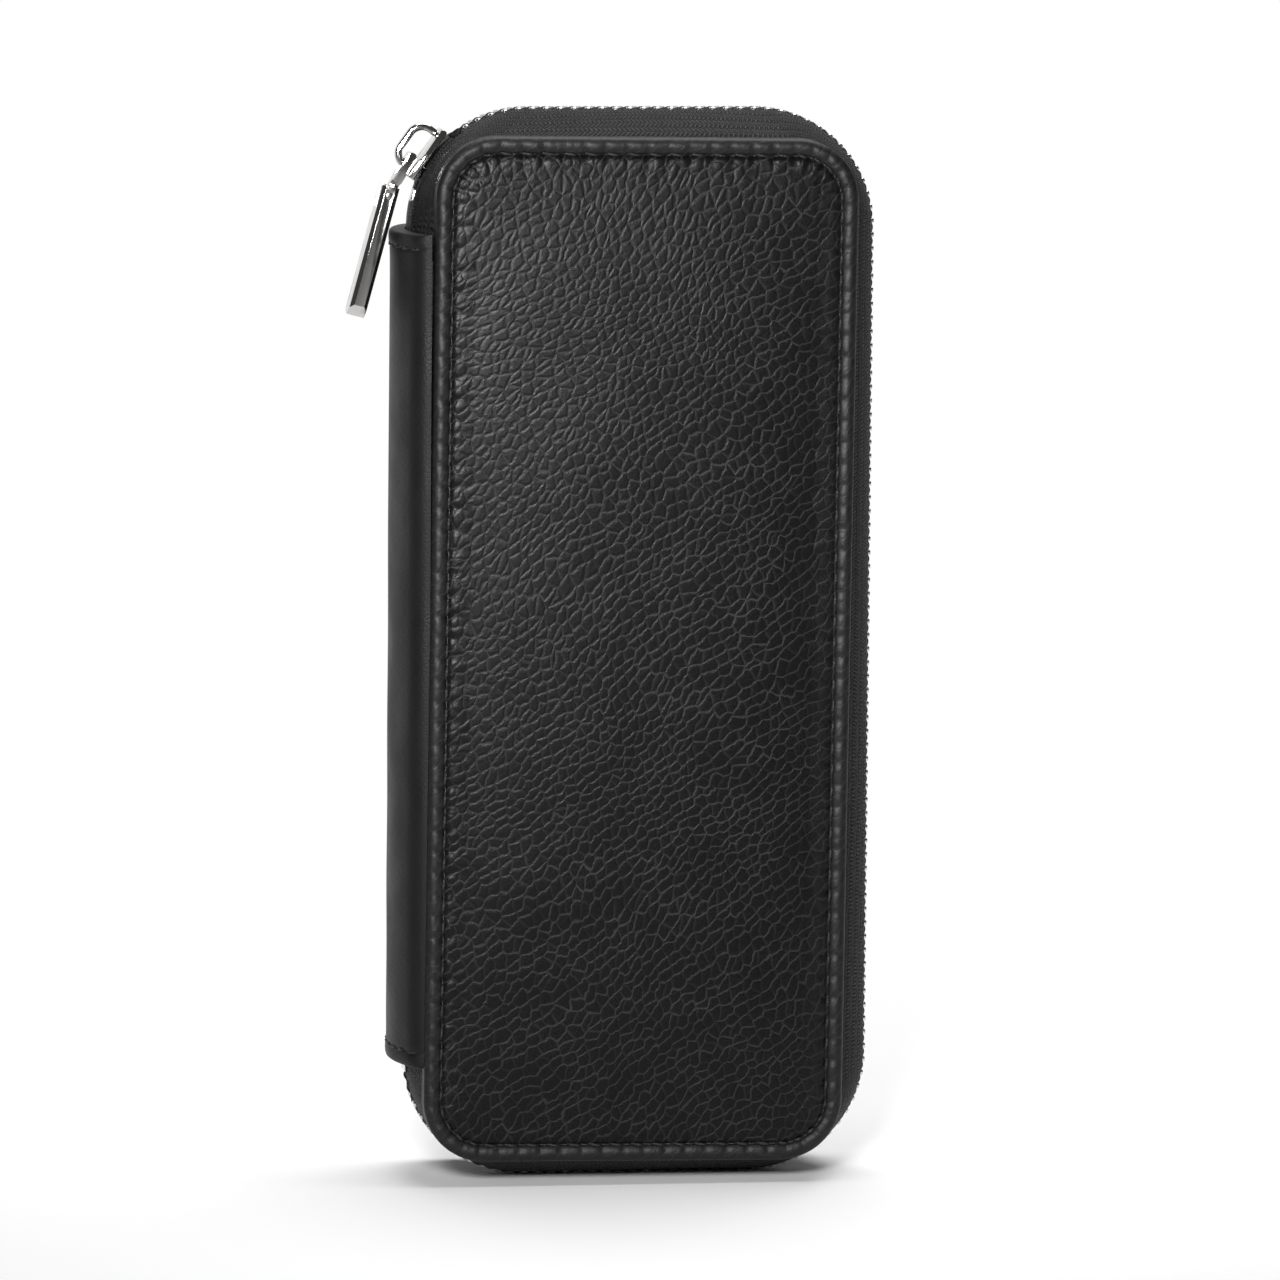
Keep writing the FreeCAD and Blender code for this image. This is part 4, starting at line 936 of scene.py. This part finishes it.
def swept(stations, uvs_along):
    """Closed sections joined in order, with coordinates along and across the weave."""
    vertices, faces = lofted(stations)
    uvs = []
    for station, along in zip(stations, uvs_along):
        across = 0.0
        for index, point in enumerate(station):
            if index:
                across += (point - station[index - 1]).length
            uvs.append((along, across))
    return vertices, faces, uvs


TAPE_SWELL = 1.5
# The tape's flange under the cover, in millimetres: its rise over the cover's edge, and its y from there
FLANGE = [(-4.0, 0.0), (-2.0, 0.0), (-0.5, 0.0), (-0.05, -0.25)]
# The corded edge in millimetres: y, how far it bulges between two teeth, and its thickness
CORD = [(1.75, 0.1, 0.9), (1.5, 0.26, 1.2), (1.2, 0.32, 1.3), (0.88, 0.18, 1.05), (0.66, -0.25, 0.4)]


def tape_section(gap, bulge, in_notch):
    """The tape's section as (rise over the cover's edge, y): out over its face and back along its inside."""
    zip_sizes = bpy.context.scene.pen_case_zip
    thickness = zip_sizes.tape_thickness
    flange_y = SKIRT_Y - 0.02 * MM
    outer = [(rise * MM, flange_y + y * MM) for rise, y in FLANGE]
    depth = SKIRT_Y - zip_sizes.crown_half
    sunk = 0.1 * MM
    steps = 10
    for step in range(1, steps + 1):
        share = step / steps
        rise = gap * (1 - (1 - share) ** TAPE_SWELL)
        outer.append((rise, SKIRT_Y - share * depth - sunk * (1 - share)))
    skins = [thickness] * len(outer)
    for y, lift, skin in CORD:
        outer.append((gap + (0.0 if in_notch else lift * MM * bulge), y * MM))
        skins.append(thickness if in_notch else skin * MM)
    line = [Vector(point) for point in outer]
    inner = []
    for index, (rise, y) in enumerate(outer):
        way = heading(line, index)
        inner.append((rise + way.y * skins[index], y - way.x * skins[index]))
    section = outer + inner[::-1]
    if in_notch:
        edge = zip_sizes.notch_half
        squeezed = 0.02
        section = [(rise, y if y > edge else edge - squeezed * (edge - y)) for rise, y in section]
    return section


def tape(side):
    """One half of the tape, swelling from under its cover to the corded edge that the teeth grip."""
    zip_sizes = bpy.context.scene.pen_case_zip
    steps_per_tooth = 6
    step = zip_sizes.pitch / steps_per_tooth
    start = first_tooth(side)
    past_notch = 0.8 * MM
    cord_start = notch_distance() + past_notch
    floor_gap = 0.02 * MM
    stations = []
    along = []
    distance = 0.0
    for (_, foot_place), (crown_span, crown_place) in zip(foot_path(), crown_path()):
        count = max(2, math.ceil(crown_span / step))
        for index in range(count + 1):
            if index == 0 and stations:
                continue
            share = index / count
            foot, outward = foot_place(share)
            crown = crown_place(share)[0]
            spot = distance + crown_span * share
            foot_at = leaned(side, [Vector((foot.x, 0.0, foot.y))])[0]
            foot = Vector((foot_at.x, foot_at.z))
            gap = (crown - foot).dot(outward)
            drift = crown - foot - outward * gap
            between = 0.5 - 0.5 * math.cos(2 * math.pi * (spot - start) / zip_sizes.pitch)
            ring = []
            for rise, y in tape_section(gap, between, spot < cord_start):
                flat = foot + outward * rise + drift * min(max(rise / gap, 0.0), 1.0)
                ring.append(Vector((flat.x, side * y, max(flat.y, floor_gap))))
            stations.append(ring)
            along.append(spot)
        distance += crown_span
    vertices, faces, uvs = swept(stations, along)
    name = SIDE_NAMES[side]
    new_piece(name + "_tape", vertices, faces, "zip_tape", SIDE_BODIES[side], (name + "_zip_tape",), uvs)


def zip_end():
    """The joined tape ends that run on from under the spine and carry the slider."""
    zip_sizes = bpy.context.scene.pen_case_zip
    path = crown_path()[:2]
    reach = notch_distance() - 1.2 * MM
    count = 60
    thickness = zip_sizes.tape_thickness
    outside = zip_sizes.notch_half - 0.15 * MM
    slit_start = 9.0 * MM
    slit_half = 1.2 * MM
    bevel = 0.5 * MM
    drop = 0.15 * MM
    parts = []
    uvs = []
    for way in (-1, 1):
        stations = []
        along = []
        for index in range(count + 1):
            distance = reach * index / count
            point, outward = at_distance(path, distance)
            inside = slit_half * smooth_step(slit_start, slit_start + 1.5 * MM, distance) + 0.02 * MM
            section = [
                (outside, 0.0), (inside + bevel, 0.0), (inside, -drop),
                (inside, drop - thickness), (inside + bevel, -thickness), (outside, -thickness),
            ]
            ring = []
            for y, rise in section:
                flat = point + outward * rise
                ring.append(Vector((flat.x, way * y, flat.y)))
            stations.append(ring)
            along.append(distance)
        vertices, faces, part_uvs = swept(stations, along)
        parts.append((vertices, faces))
        uvs.extend(part_uvs)
    vertices, faces = gathered(parts)
    new_piece("tape_end", vertices, faces, "zip_tape", "spine", ("zip_tail",), uvs)


# A tooth's section from the legs to the head: y, half its length along the zip, its underside and its top
TOOTH = [
    (2.3, 0.3, -0.98, 0.14), (2.16, 0.4, -1.14, 0.3), (1.35, 0.46, -1.18, 0.34), (0.95, 0.46, -1.14, 0.33),
    (0.55, 0.4, -0.98, 0.2), (0.05, 0.46, -0.94, 0.18), (-0.36, 0.42, -0.9, 0.13), (-0.52, 0.26, -0.76, 0.0),
]


def tooth_rings(side):
    """One tooth on the crown's top, along X, with its corners cut."""
    cut = 0.16
    rings = []
    for y, half, low, high in TOOTH:
        outline = [
            (half - cut, high), (half, high - cut), (half, low + cut), (half - cut, low),
            (cut - half, low), (-half, low + cut), (-half, high - cut), (cut - half, high),
        ]
        rings.append([Vector((x * MM, side * y * MM, z * MM)) for x, z in outline])
    return rings


def teeth(side):
    """A row of teeth round the crown, as far as the stop below the spine."""
    path = crown_path()
    pitch = bpy.context.scene.pen_case_zip.pitch
    name = SIDE_NAMES[side]
    stop_low, stop_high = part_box(name + "_end_stop")
    last = total_length(path) - path[-1][0] - (stop_high.z - stop_low.z) - pitch
    count = int((last - first_tooth(side)) / pitch)
    rings = tooth_rings(side)
    parts = []
    for index in range(count):
        point, outward = at_distance(path, first_tooth(side) + index * pitch)
        turn = Matrix.Rotation(math.atan2(outward.x, outward.y), 3, "Y")
        seat = Vector((point.x, 0.0, point.y))
        parts.append(lofted([[turn @ corner + seat for corner in ring] for ring in rings]))
    vertices, faces = gathered(parts)
    piece = new_piece(
        name + "_teeth", vertices, faces, "zip_teeth", SIDE_BODIES[side], (name + "_zip_teeth",),
    )
    piece.data.set_sharp_from_angle(angle=math.radians(50))


# Slider, pull and stops


def polished(node, name, slot, body, width):
    """A copy of a rigid node with its edges rounded."""
    flat = math.radians(2)
    edge_turn = math.radians(20)
    crisp = math.radians(35)
    mesh = frame["nodes"][node].data.copy()
    build = bmesh.new()
    build.from_mesh(mesh)
    bmesh.ops.remove_doubles(build, verts=build.verts, dist=0.002 * MM)
    bmesh.ops.dissolve_limit(build, angle_limit=flat, verts=build.verts, edges=build.edges)
    edges = []
    for edge in build.edges:
        if edge.is_manifold and edge.calc_face_angle() > edge_turn:
            edges.append(edge)
    bmesh.ops.bevel(
        build, geom=edges, offset=width, segments=3, profile=0.5, affect="EDGES", clamp_overlap=True,
    )
    bmesh.ops.recalc_face_normals(build, faces=build.faces)
    build.to_mesh(mesh)
    build.free()
    mesh.shade_smooth()
    mesh.set_sharp_from_angle(angle=crisp)
    placed(name, mesh, slot, body, (node,))


# Spine


def spine_centre():
    """The centre and the mid radius of the spine's round section, worked out from its fold and its bulge."""
    thickness = bpy.context.scene.pen_case_leather.spine_thickness
    bulge = FOLD.x - (SPINE_LOW.x + thickness / 2)
    radius = (FOLD.y ** 2 + bulge ** 2) / (2 * bulge)
    return FOLD.x - bulge + radius, radius


def spine_arc(centre_x, radius, spread, steps):
    """Points round the spine over an angle, from mid spine, where they lie closer together."""
    shares = [0.0, 0.02, 0.06] + [0.06 + 0.94 * step / steps for step in range(1, steps + 1)]
    points = []
    for share in shares:
        turn = spread * share
        points.append(Vector((centre_x - radius * math.cos(turn), radius * math.sin(turn))))
    return points


def soft_turn(first, corner, last, steps):
    """Points on a curve from first, which sets out towards corner and bends to last."""
    points = []
    for step in range(1, steps + 1):
        share = step / steps
        points.append(first.lerp(corner, share).lerp(corner.lerp(last, share), share))
    return points


def spine_route(side):
    """The middle line of half the spine's leather: from mid spine round to the fold, then over a soft
    shoulder and in against the cover's edge."""
    leather = bpy.context.scene.pen_case_leather
    centre_x, radius = spine_centre()
    spread = math.asin(FOLD.y / radius)
    radius += (leather.spine_thickness - leather.spine_skin) / 2
    arc_share = 0.84
    points = spine_arc(centre_x, radius, spread * arc_share, 20)
    first = points[-1]
    way = (first - points[-2]).normalized()
    overlap = 0.1 * MM
    shoulder = 2.2 * MM
    last = Vector((PANEL_LOW.x + overlap, SKIRT_Y + shoulder))
    corner = first + way * ((last.y - first.y) / way.y)
    points += soft_turn(first, corner, last, 16)
    return [Vector((point.x, side * point.y)) for point in points]


def thick_route(route, skin):
    """A closed section round a route, with half the thickness on each side."""
    outer = []
    inner = []
    for index, point in enumerate(route):
        way = heading(route, index)
        across = Vector((-way.y, way.x)) * skin / 2
        outer.append(point + across)
        inner.append(point - across)
    return outer, inner


def hem_levels():
    """Heights along the spine, with how far the leather's face and its turned-in layer are lifted at each."""
    leather = bpy.context.scene.pen_case_leather
    hem = leather.hem / MM
    layer = leather.spine_thickness - leather.spine_skin
    turned = 4.0
    # In millimetres: how far from the spine's end, and the lift of the face there
    ends = [
        (0.0, -0.42), (0.08, -0.15), (0.25, 0.05), (0.6, 0.16), (1.2, 0.2),
        (hem - 0.5, 0.16), (hem - 0.2, -0.02), (hem, -0.22), (hem + 0.2, -0.07), (hem + 0.6, 0.03),
        (turned - 0.1, 0.0), (turned + 0.5, 0.0),
    ]
    levels = []
    for offset, lift in ends:
        levels.append((offset * MM, lift * MM, layer if offset < turned else 0.0))
    tall = SPINE_HIGH.z - SPINE_LOW.z
    first = levels[-1][0]
    rows = 90
    for row in range(1, rows):
        levels.append((first + (tall - 2 * first) * row / rows, 0.0, 0.0))
    for offset, lift, inside in levels[len(ends) - 1::-1]:
        levels.append((tall - offset, lift, inside))
    return [(SPINE_LOW.z + offset, lift, inside) for offset, lift, inside in levels]


def spine_skin(side):
    """Half of the spine's leather, from the middle of the spine round the fold to the edge of one cover."""
    leather = bpy.context.scene.pen_case_leather
    route = spine_route(side)
    half = leather.spine_skin / 2
    soft_tall = 16 * MM
    soft_wide = 9 * MM
    soft_height = 0.12 * MM
    stations = []
    for z, lift, inside in hem_levels():
        outer = []
        inner = []
        for index, point in enumerate(route):
            way = heading(route, index) * side
            out = Vector((-way.y, way.x))
            fade = 1 - smooth_step(0.7, 1.0, index / (len(route) - 1))
            soft = noise.noise(Vector((z / soft_tall, point.y / soft_wide, 5.0))) * soft_height
            outer.append(point + out * (half + (lift + soft) * fade))
            inner.append(point - out * (half + inside * fade))
        stations.append(ring_at(outer, inner, z))
    vertices, faces = lofted(stations)
    piece = new_piece(
        SIDE_NAMES[side] + "_spine_skin", vertices, faces, "smooth_leather", None,
        ("spine_leather", "lower_spine_hem", "upper_spine_hem"),
    )
    piece.data.set_sharp_from_angle(angle=math.radians(60))
    fold_over(piece, side)


def fold_over(piece, side):
    """Bake the placement of a piece of the spine into its mesh."""
    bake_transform(piece)


def along_route(route, distance):
    """The point at a distance along a route, and the direction there."""
    for first, second in zip(route, route[1:]):
        span = (second - first).length
        if distance <= span:
            break
        distance -= span
    way = (second - first) / span
    return first + way * distance, way


def spine_stitches(side):
    """A row of stitches across half of the hem at each end of the spine."""
    leather = bpy.context.scene.pen_case_leather
    route = spine_route(side)
    height = leather.spine_skin / 2 - 0.1 * MM
    dip = 0.6 * MM
    lift = 0.12 * MM
    count = 4
    parts = []
    for z in (SPINE_LOW.z + leather.hem, SPINE_HIGH.z - leather.hem):
        for index in range(count):
            ends = []
            for share in (index + STITCH_GAP, index + 1 - STITCH_GAP):
                point, way = along_route(route, share * leather.stitch_pitch)
                out = Vector((-way.y, way.x)) * side
                ends.append(Vector((*(point + out * height), z)))
            out = Vector((*out, 0.0))
            parts.append(stitch_thread(*ends, -out * dip, out * lift, leather.thread_radius))
    vertices, faces = gathered(parts)
    fold_over(new_piece(SIDE_NAMES[side] + "_spine_stitches", vertices, faces, "thread"), side)


def spine_cloth(side):
    """Half of the spine's lining, from the middle of the spine across the fold to the lining of one half."""
    leather = bpy.context.scene.pen_case_leather
    zip_sizes = bpy.context.scene.pen_case_zip
    skin = 0.6 * MM
    centre_x, radius = spine_centre()
    radius += skin / 2 - leather.spine_thickness / 2
    points = spine_arc(centre_x, radius, math.radians(17), 14)
    lining_y = LINING_LOW.y + skin / 2
    corner = Vector((PANEL_LOW.x - 0.9 * MM, lining_y))
    last = Vector((PANEL_LOW.x + 1.2 * MM, lining_y))
    first = points[-1]
    points += soft_turn(first, corner, last, 10)
    points.append(Vector((LINING_LOW.x - 0.05 * MM, lining_y)))
    route = [Vector((point.x, side * point.y)) for point in points]
    outer, inner = thick_route(route, skin)
    clearance = 0.4 * MM
    low = SPINE_LOW.z + zip_sizes.tuck + clearance
    high = SPINE_HIGH.z - zip_sizes.tuck - clearance
    rows = 60
    stations = []
    for row in range(rows + 1):
        z = low + (high - low) * row / rows
        stations.append(ring_at(outer, inner, z))
    vertices, faces = lofted(stations)
    piece = new_piece(
        SIDE_NAMES[side] + "_spine_cloth", vertices, faces, "lining_cloth", None, ("spine_lining",),
    )
    piece.data.set_sharp_from_angle(angle=math.radians(60))
    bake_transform(piece)


# Inside of the case


# A sheet's soft edge: millimetres in from its outline, and the share of its thickness there
SOFT_EDGE = [(0.3, 0.0), (0.06, 0.12), (0.0, 0.4), (0.05, 0.72), (0.2, 0.92), (0.45, 1.0), (1.2, 1.0)]


def soft_sheet(name, sides, back_y, face_y, steps, slot, body, node, puff=0.0):
    """A thin sheet with soft edges between two heights, standing for a node. Its face is a little lumpy."""
    way = 1 if face_y > back_y else -1
    thick = abs(face_y - back_y)
    lump_size = 15 * MM
    rings = [(inset * MM, back_y + way * thick * share) for inset, share in SOFT_EDGE]

    def lifted(x, z):
        lumps = noise.noise(Vector((x / lump_size, z / lump_size, back_y / MM)))
        return face_y + way * puff * lumps

    vertices, faces = sheet_mesh(sides, steps, rings, None, lifted)[:2]
    new_piece(name, vertices, faces, slot, body, (node,))


def edge_stitching(name, sides, y, outward_y, body):
    """A line of stitches just inside a leather edge."""
    inside = bpy.context.scene.pen_case_inside
    leather = bpy.context.scene.pen_case_leather
    line = [stretch for side in sides for stretch in side]
    count = round(total_length(line) / leather.stitch_pitch)
    radius = 0.2 * MM
    slant = 0.08 * MM
    lift = outward_y * 0.02 * MM
    vertices, faces = stitched_line(line, count, inside.edge_stitch, y + lift, outward_y, slant, radius)
    new_piece(name, vertices, faces, "thread", body)


def pocket_sides():
    """The pocket's outline, with a thumb notch in its upper edge."""
    notch = bpy.context.scene.pen_case_inside.thumb_notch
    corner = 3.8 * MM
    left, upper, right, lower = rounded_sides(POCKET_LOW, POCKET_HIGH, corner)
    high = POCKET_HIGH.z
    notched = [
        upper[0],
        straight((POCKET_LOW.x + corner, high), (-notch, high)),
        bend((0.0, high), notch, 180, 360),
        straight((notch, high), (POCKET_HIGH.x - corner, high)),
        upper[-1],
    ]
    return [left, notched, right, lower]


def loop_route():
    """The middle line of a band of pen loops, from its left end to its right end, as (x, y)."""
    inside = bpy.context.scene.pen_case_inside
    half = inside.loop_bore / 2 + inside.band_thickness / 2
    step = inside.loop_bore + inside.loop_seam
    low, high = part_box("upper_pen_loops")
    seam_y = high.y - inside.band_thickness / 2
    round_y = low.y + inside.band_thickness / 2 + half
    foot = 1.0 * MM
    points = [Vector((low.x, seam_y))]
    for index in range(inside.loop_count):
        middle = (index - (inside.loop_count - 1) / 2) * step
        left = middle - half
        right = middle + half
        points += arc_points((left - foot, seam_y - foot), foot, 90, 0, 6)
        points += arc_points((middle, round_y), half, 180, 360, 24)
        points += arc_points((right + foot, seam_y - foot), foot, 180, 90, 6)
    points.append(Vector((high.x, seam_y)))
    return points


def pen_loops(node, name):
    """A band of elastic that is sewn down between the pens, with turned edges."""
    inside = bpy.context.scene.pen_case_inside
    low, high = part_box(node)
    edge = 0.35 * MM
    levels = [(low.z, 0.45), (low.z + edge * 0.4, 0.9), (low.z + edge, 1.08), (low.z + 3 * edge, 1.0)]
    rows = 14
    for row in range(1, rows):
        share = row / rows
        levels.append((low.z + 3 * edge + (high.z - low.z - 6 * edge) * share, 1.0))
    levels += [(low.z + high.z - z, share) for z, share in levels[3::-1]]
    stations = []
    for z, share in levels:
        outer, inner = thick_route(loop_route(), inside.band_thickness * min(share, 1.0))
        stations.append(ring_at(outer, inner, z))
    vertices, faces = lofted(stations)
    new_piece(name, vertices, faces, "elastic", "rear_half", (node,))


def loop_stitches(node, name):
    """Two rows of stitches down each seam between the loops."""
    inside = bpy.context.scene.pen_case_inside
    low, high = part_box(node)
    step = inside.loop_bore + inside.loop_seam
    y = high.y - inside.band_thickness
    radius = 0.18 * MM
    dip = Vector((0.0, 2 * radius, 0.0))
    lift = Vector((0.0, -0.3 * radius, 0.0))
    count = 7
    gap = 0.15
    parts = []
    for seam in range(inside.loop_count + 1):
        middle = (seam - inside.loop_count / 2) * step
        for index in range(count):
            ends = []
            for share in (index + gap, index + 1 - gap):
                ends.append(Vector((middle, y, low.z + (high.z - low.z) * share / count)))
            parts.append(stitch_thread(*ends, dip, lift, radius))
    vertices, faces = gathered(parts)
    new_piece(name, vertices, faces, "thread", "rear_half")


# Operators


class PENCASE_OT_covers(bpy.types.Operator):
    """Padded leather covers with rolled rims and their stitches"""

    bl_idname = "pencase.covers"
    bl_label = "Leather Covers"

    def execute(self, context):
        for side in (FRONT, REAR):
            cover(side)
            cover_stitches(side)
            dress(SIDE_NAMES[side] + "_board", "board")
        return {"FINISHED"}


class PENCASE_OT_spine(bpy.types.Operator):
    """Smooth leather spine, its hems and its lining"""

    bl_idname = "pencase.spine"
    bl_label = "Spine"

    def execute(self, context):
        for side in (FRONT, REAR):
            spine_skin(side)
            spine_cloth(side)
            spine_stitches(side)
        dress("spine_board", "board")
        return {"FINISHED"}


class PENCASE_OT_zip(bpy.types.Operator):
    """Woven tape, its joined end and two rows of teeth"""

    bl_idname = "pencase.zip"
    bl_label = "Zip"

    def execute(self, context):
        for side in (FRONT, REAR):
            tape(side)
            teeth(side)
        zip_end()
        return {"FINISHED"}


class PENCASE_OT_slider(bpy.types.Operator):
    """Slider, bail, link, pull tab and stops in polished metal"""

    bl_idname = "pencase.slider"
    bl_label = "Slider and Pull"

    def execute(self, context):
        width = context.scene.pen_case_metal.edge_round
        for node, name, slot, body, share in (
            ("slider_body", "slider", "nickel", "slider", 1.0),
            ("slider_bail", "bail", "nickel", "slider", 1.6),
            ("pull_link", "link", "nickel", "link", 0.8),
            ("pull_tab", "tab", "nickel", "tab", 1.0),
            ("pull_pin", "pin", "nickel", "tab", 0.7),
            ("zip_top_stop", "top_stop", "zip_teeth", "spine", 1.0),
            ("front_end_stop", "front_stop", "zip_teeth", "front_half", 0.6),
            ("rear_end_stop", "rear_stop", "zip_teeth", "rear_half", 0.6),
        ):
            polished(node, name, slot, body, width * share)
        return {"FINISHED"}


class PENCASE_OT_inside(bpy.types.Operator):
    """Lining, pen loops on their backing, slip pocket and loose page"""

    bl_idname = "pencase.inside"
    bl_label = "Inside"

    def execute(self, context):
        corner = context.scene.pen_case_leather.corner
        leather_puff = 0.08 * MM
        page_puff = 0.1 * MM
        for side in (FRONT, REAR):
            name = SIDE_NAMES[side]
            low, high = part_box(name + "_lining")
            inset = PANEL_HIGH.x - high.x
            sides = rounded_sides(low, high, corner - inset)
            back, face = sorted((low.y, high.y), key=abs, reverse=True)
            soft_sheet(
                name + "_cloth", sides, back, face, (60, 24), "lining_cloth", SIDE_BODIES[side],
                name + "_lining",
            )
        inset = PANEL_HIGH.x - BACKING_HIGH.x
        sides = rounded_sides(BACKING_LOW, BACKING_HIGH, corner - inset)
        soft_sheet(
            "backing", sides, BACKING_HIGH.y, BACKING_LOW.y, (90, 36), "smooth_leather", "rear_half",
            "pen_backing", leather_puff,
        )
        edge_stitching("backing_stitches", sides, BACKING_LOW.y, -1, "rear_half")
        for level in ("upper", "lower"):
            pen_loops(level + "_pen_loops", level + "_band")
            loop_stitches(level + "_pen_loops", level + "_band_stitches")
        sides = pocket_sides()
        soft_sheet(
            "pocket", sides, POCKET_LOW.y, POCKET_HIGH.y, (70, 60), "smooth_leather", "front_half",
            "slip_pocket", leather_puff,
        )
        edge_stitching("pocket_stitches", sides, POCKET_HIGH.y, 1, "front_half")
        page_corner = context.scene.pen_case_inside.page_corner
        sides = rounded_sides(FLAP_LOW, FLAP_HIGH, page_corner)
        soft_sheet(
            "page", sides, FLAP_LOW.y, FLAP_HIGH.y, (90, 36), "smooth_leather", "flap",
            "pen_flap", page_puff,
        )
        edge_stitching("page_stitches", sides, FLAP_HIGH.y, 1, "flap")
        return {"FINISHED"}


class PENCASE_OT_stage(bpy.types.Operator):
    """Pale floor, soft lamps and the camera"""

    bl_idname = "pencase.stage"
    bl_label = "Stage"

    def execute(self, context):
        stage = context.scene.pen_case_stage
        lay_floor()
        for name, place, aim, width, height, spread, power in LAMPS:
            hang_lamp(name, Vector(place), Vector(aim), width, height, math.radians(spread), power)
        light_world(context.scene)
        set_camera(context.scene, stage)
        context.scene.view_settings.view_transform = "Standard"
        return {"FINISHED"}


# Stage

# Each lamp: its name, its place, where it points, its width, its height, its spread in degrees and its power
LAMPS = [
    ("key_lamp", (-0.105, -0.43, 0.21), (0.0, 0.0, 0.11), 0.1, 0.1, 50, 0.3),
    ("top_lamp", (0.1, 0.15, 0.75), (0.1, 0.15, 0.0), 0.6, 0.6, 180, 6.4),
    ("back_lamp", (-0.5, 0.7, 0.3), (0.0, 0.0, 0.09), 0.25, 0.4, 90, 0.1),
]
FLOOR_REACH = 60.0
WORLD_DIM = 0.07
WORLD_PALE = 1.0


def lay_floor():
    """A wide round floor at the height that the case stands on."""
    steps = 96
    ring = []
    for step in range(steps):
        turn = 2 * math.pi * step / steps
        ring.append(Vector((FLOOR_REACH * math.cos(turn), FLOOR_REACH * math.sin(turn), 0.0)))
    mesh = bpy.data.meshes.new("floor")
    mesh.from_pydata(ring, [], [tuple(range(steps))])
    mesh.materials.append(finish("table_top"))
    floor = bpy.data.objects.new("floor", mesh)
    bpy.context.scene.collection.objects.link(floor)


def hang_lamp(name, place, aim, width, height, spread, power):
    """A soft lamp at a place, turned to its aim. The camera doesn't see it."""
    lamp = bpy.data.lights.new(name, "AREA")
    lamp.shape = "RECTANGLE"
    lamp.size = width
    lamp.size_y = height
    lamp.spread = spread
    lamp.energy = power
    holder = bpy.data.objects.new(name, lamp)
    holder.visible_camera = False
    holder.location = place
    holder.rotation_euler = (aim - place).to_track_quat("-Z", "Y").to_euler()
    bpy.context.scene.collection.objects.link(holder)


def light_world(scene):
    """A dome that is pale behind the case, dim in front of it and seen as plain white."""
    world = bpy.data.worlds.new("studio")
    world.use_nodes = True
    tree = world.node_tree
    sky = tree.nodes["Background"]
    way = add(tree, "TexCoord").outputs["Generated"]
    depth = add(tree, "SeparateXYZ", {"Vector": way}).outputs["Y"]
    behind = remap(tree, depth, 0.72, 0.96, 0.0, 1.0)
    share = maths(tree, "MAXIMUM", behind, add(tree, "LightPath").outputs["Is Camera Ray"])
    dim = (WORLD_DIM, WORLD_DIM, WORLD_DIM, 1.0)
    pale = (WORLD_PALE, WORLD_PALE, WORLD_PALE, 1.0)
    tree.links.new(blended(tree, share, dim, pale), sky.inputs["Color"])
    scene.world = world


def set_camera(scene, stage):
    """The camera at the stage's angles and distance, with a lens that spans the picture's width."""
    turn = stage.azimuth
    rise = stage.elevation
    back = Vector((math.sin(turn) * math.cos(rise), -math.cos(turn) * math.cos(rise), math.sin(rise)))
    level = (-back).to_track_quat("-Z", "Y").to_matrix()
    right = level @ Vector((1.0, 0.0, 0.0))
    up = level @ Vector((0.0, 1.0, 0.0))
    target = Vector((0.0, -FACE_Y, PANEL_MIDDLE)) + right * stage.aim_right + up * stage.aim_up
    lens = bpy.data.cameras.new("camera")
    lens.lens = lens.sensor_width * stage.distance / stage.picture_width
    camera = bpy.data.objects.new("camera", lens)
    turned = level @ Matrix.Rotation(stage.roll, 3, "Z")
    camera.matrix_world = Matrix.Translation(target + back * stage.distance) @ turned.to_4x4()
    scene.collection.objects.link(camera)
    scene.camera = camera


class PENCASE_PT_panel(bpy.types.Panel):
    """Lists the operators that dress the case"""

    bl_label = "Pen Case"
    bl_idname = "PENCASE_PT_panel"
    bl_space_type = "VIEW_3D"
    bl_region_type = "UI"
    bl_category = "Pen Case"

    def draw(self, context):
        for operator in OPERATORS:
            self.layout.operator(operator.bl_idname)


OPERATORS = (
    PENCASE_OT_covers, PENCASE_OT_spine, PENCASE_OT_zip,
    PENCASE_OT_slider, PENCASE_OT_inside, PENCASE_OT_stage,
)
GROUPS = {
    "pen_case_leather": PenCaseLeather, "pen_case_zip": PenCaseZip, "pen_case_metal": PenCaseMetal,
    "pen_case_inside": PenCaseInside, "pen_case_stage": PenCaseStage,
}


def register():
    for group in GROUPS.values():
        bpy.utils.register_class(group)
    for name, group in GROUPS.items():
        setattr(bpy.types.Scene, name, PointerProperty(type=group))
    for operator in OPERATORS:
        bpy.utils.register_class(operator)
    bpy.utils.register_class(PENCASE_PT_panel)


def unregister():
    bpy.utils.unregister_class(PENCASE_PT_panel)
    for operator in reversed(OPERATORS):
        bpy.utils.unregister_class(operator)
    for name, group in reversed(list(GROUPS.items())):
        delattr(bpy.types.Scene, name)
        bpy.utils.unregister_class(group)


def main():
    register()
    bpy.ops.pencase.covers()
    bpy.ops.pencase.spine()
    bpy.ops.pencase.zip()
    bpy.ops.pencase.slider()
    bpy.ops.pencase.inside()
    bpy.ops.pencase.stage()


if __name__ == "__main__":
    main()
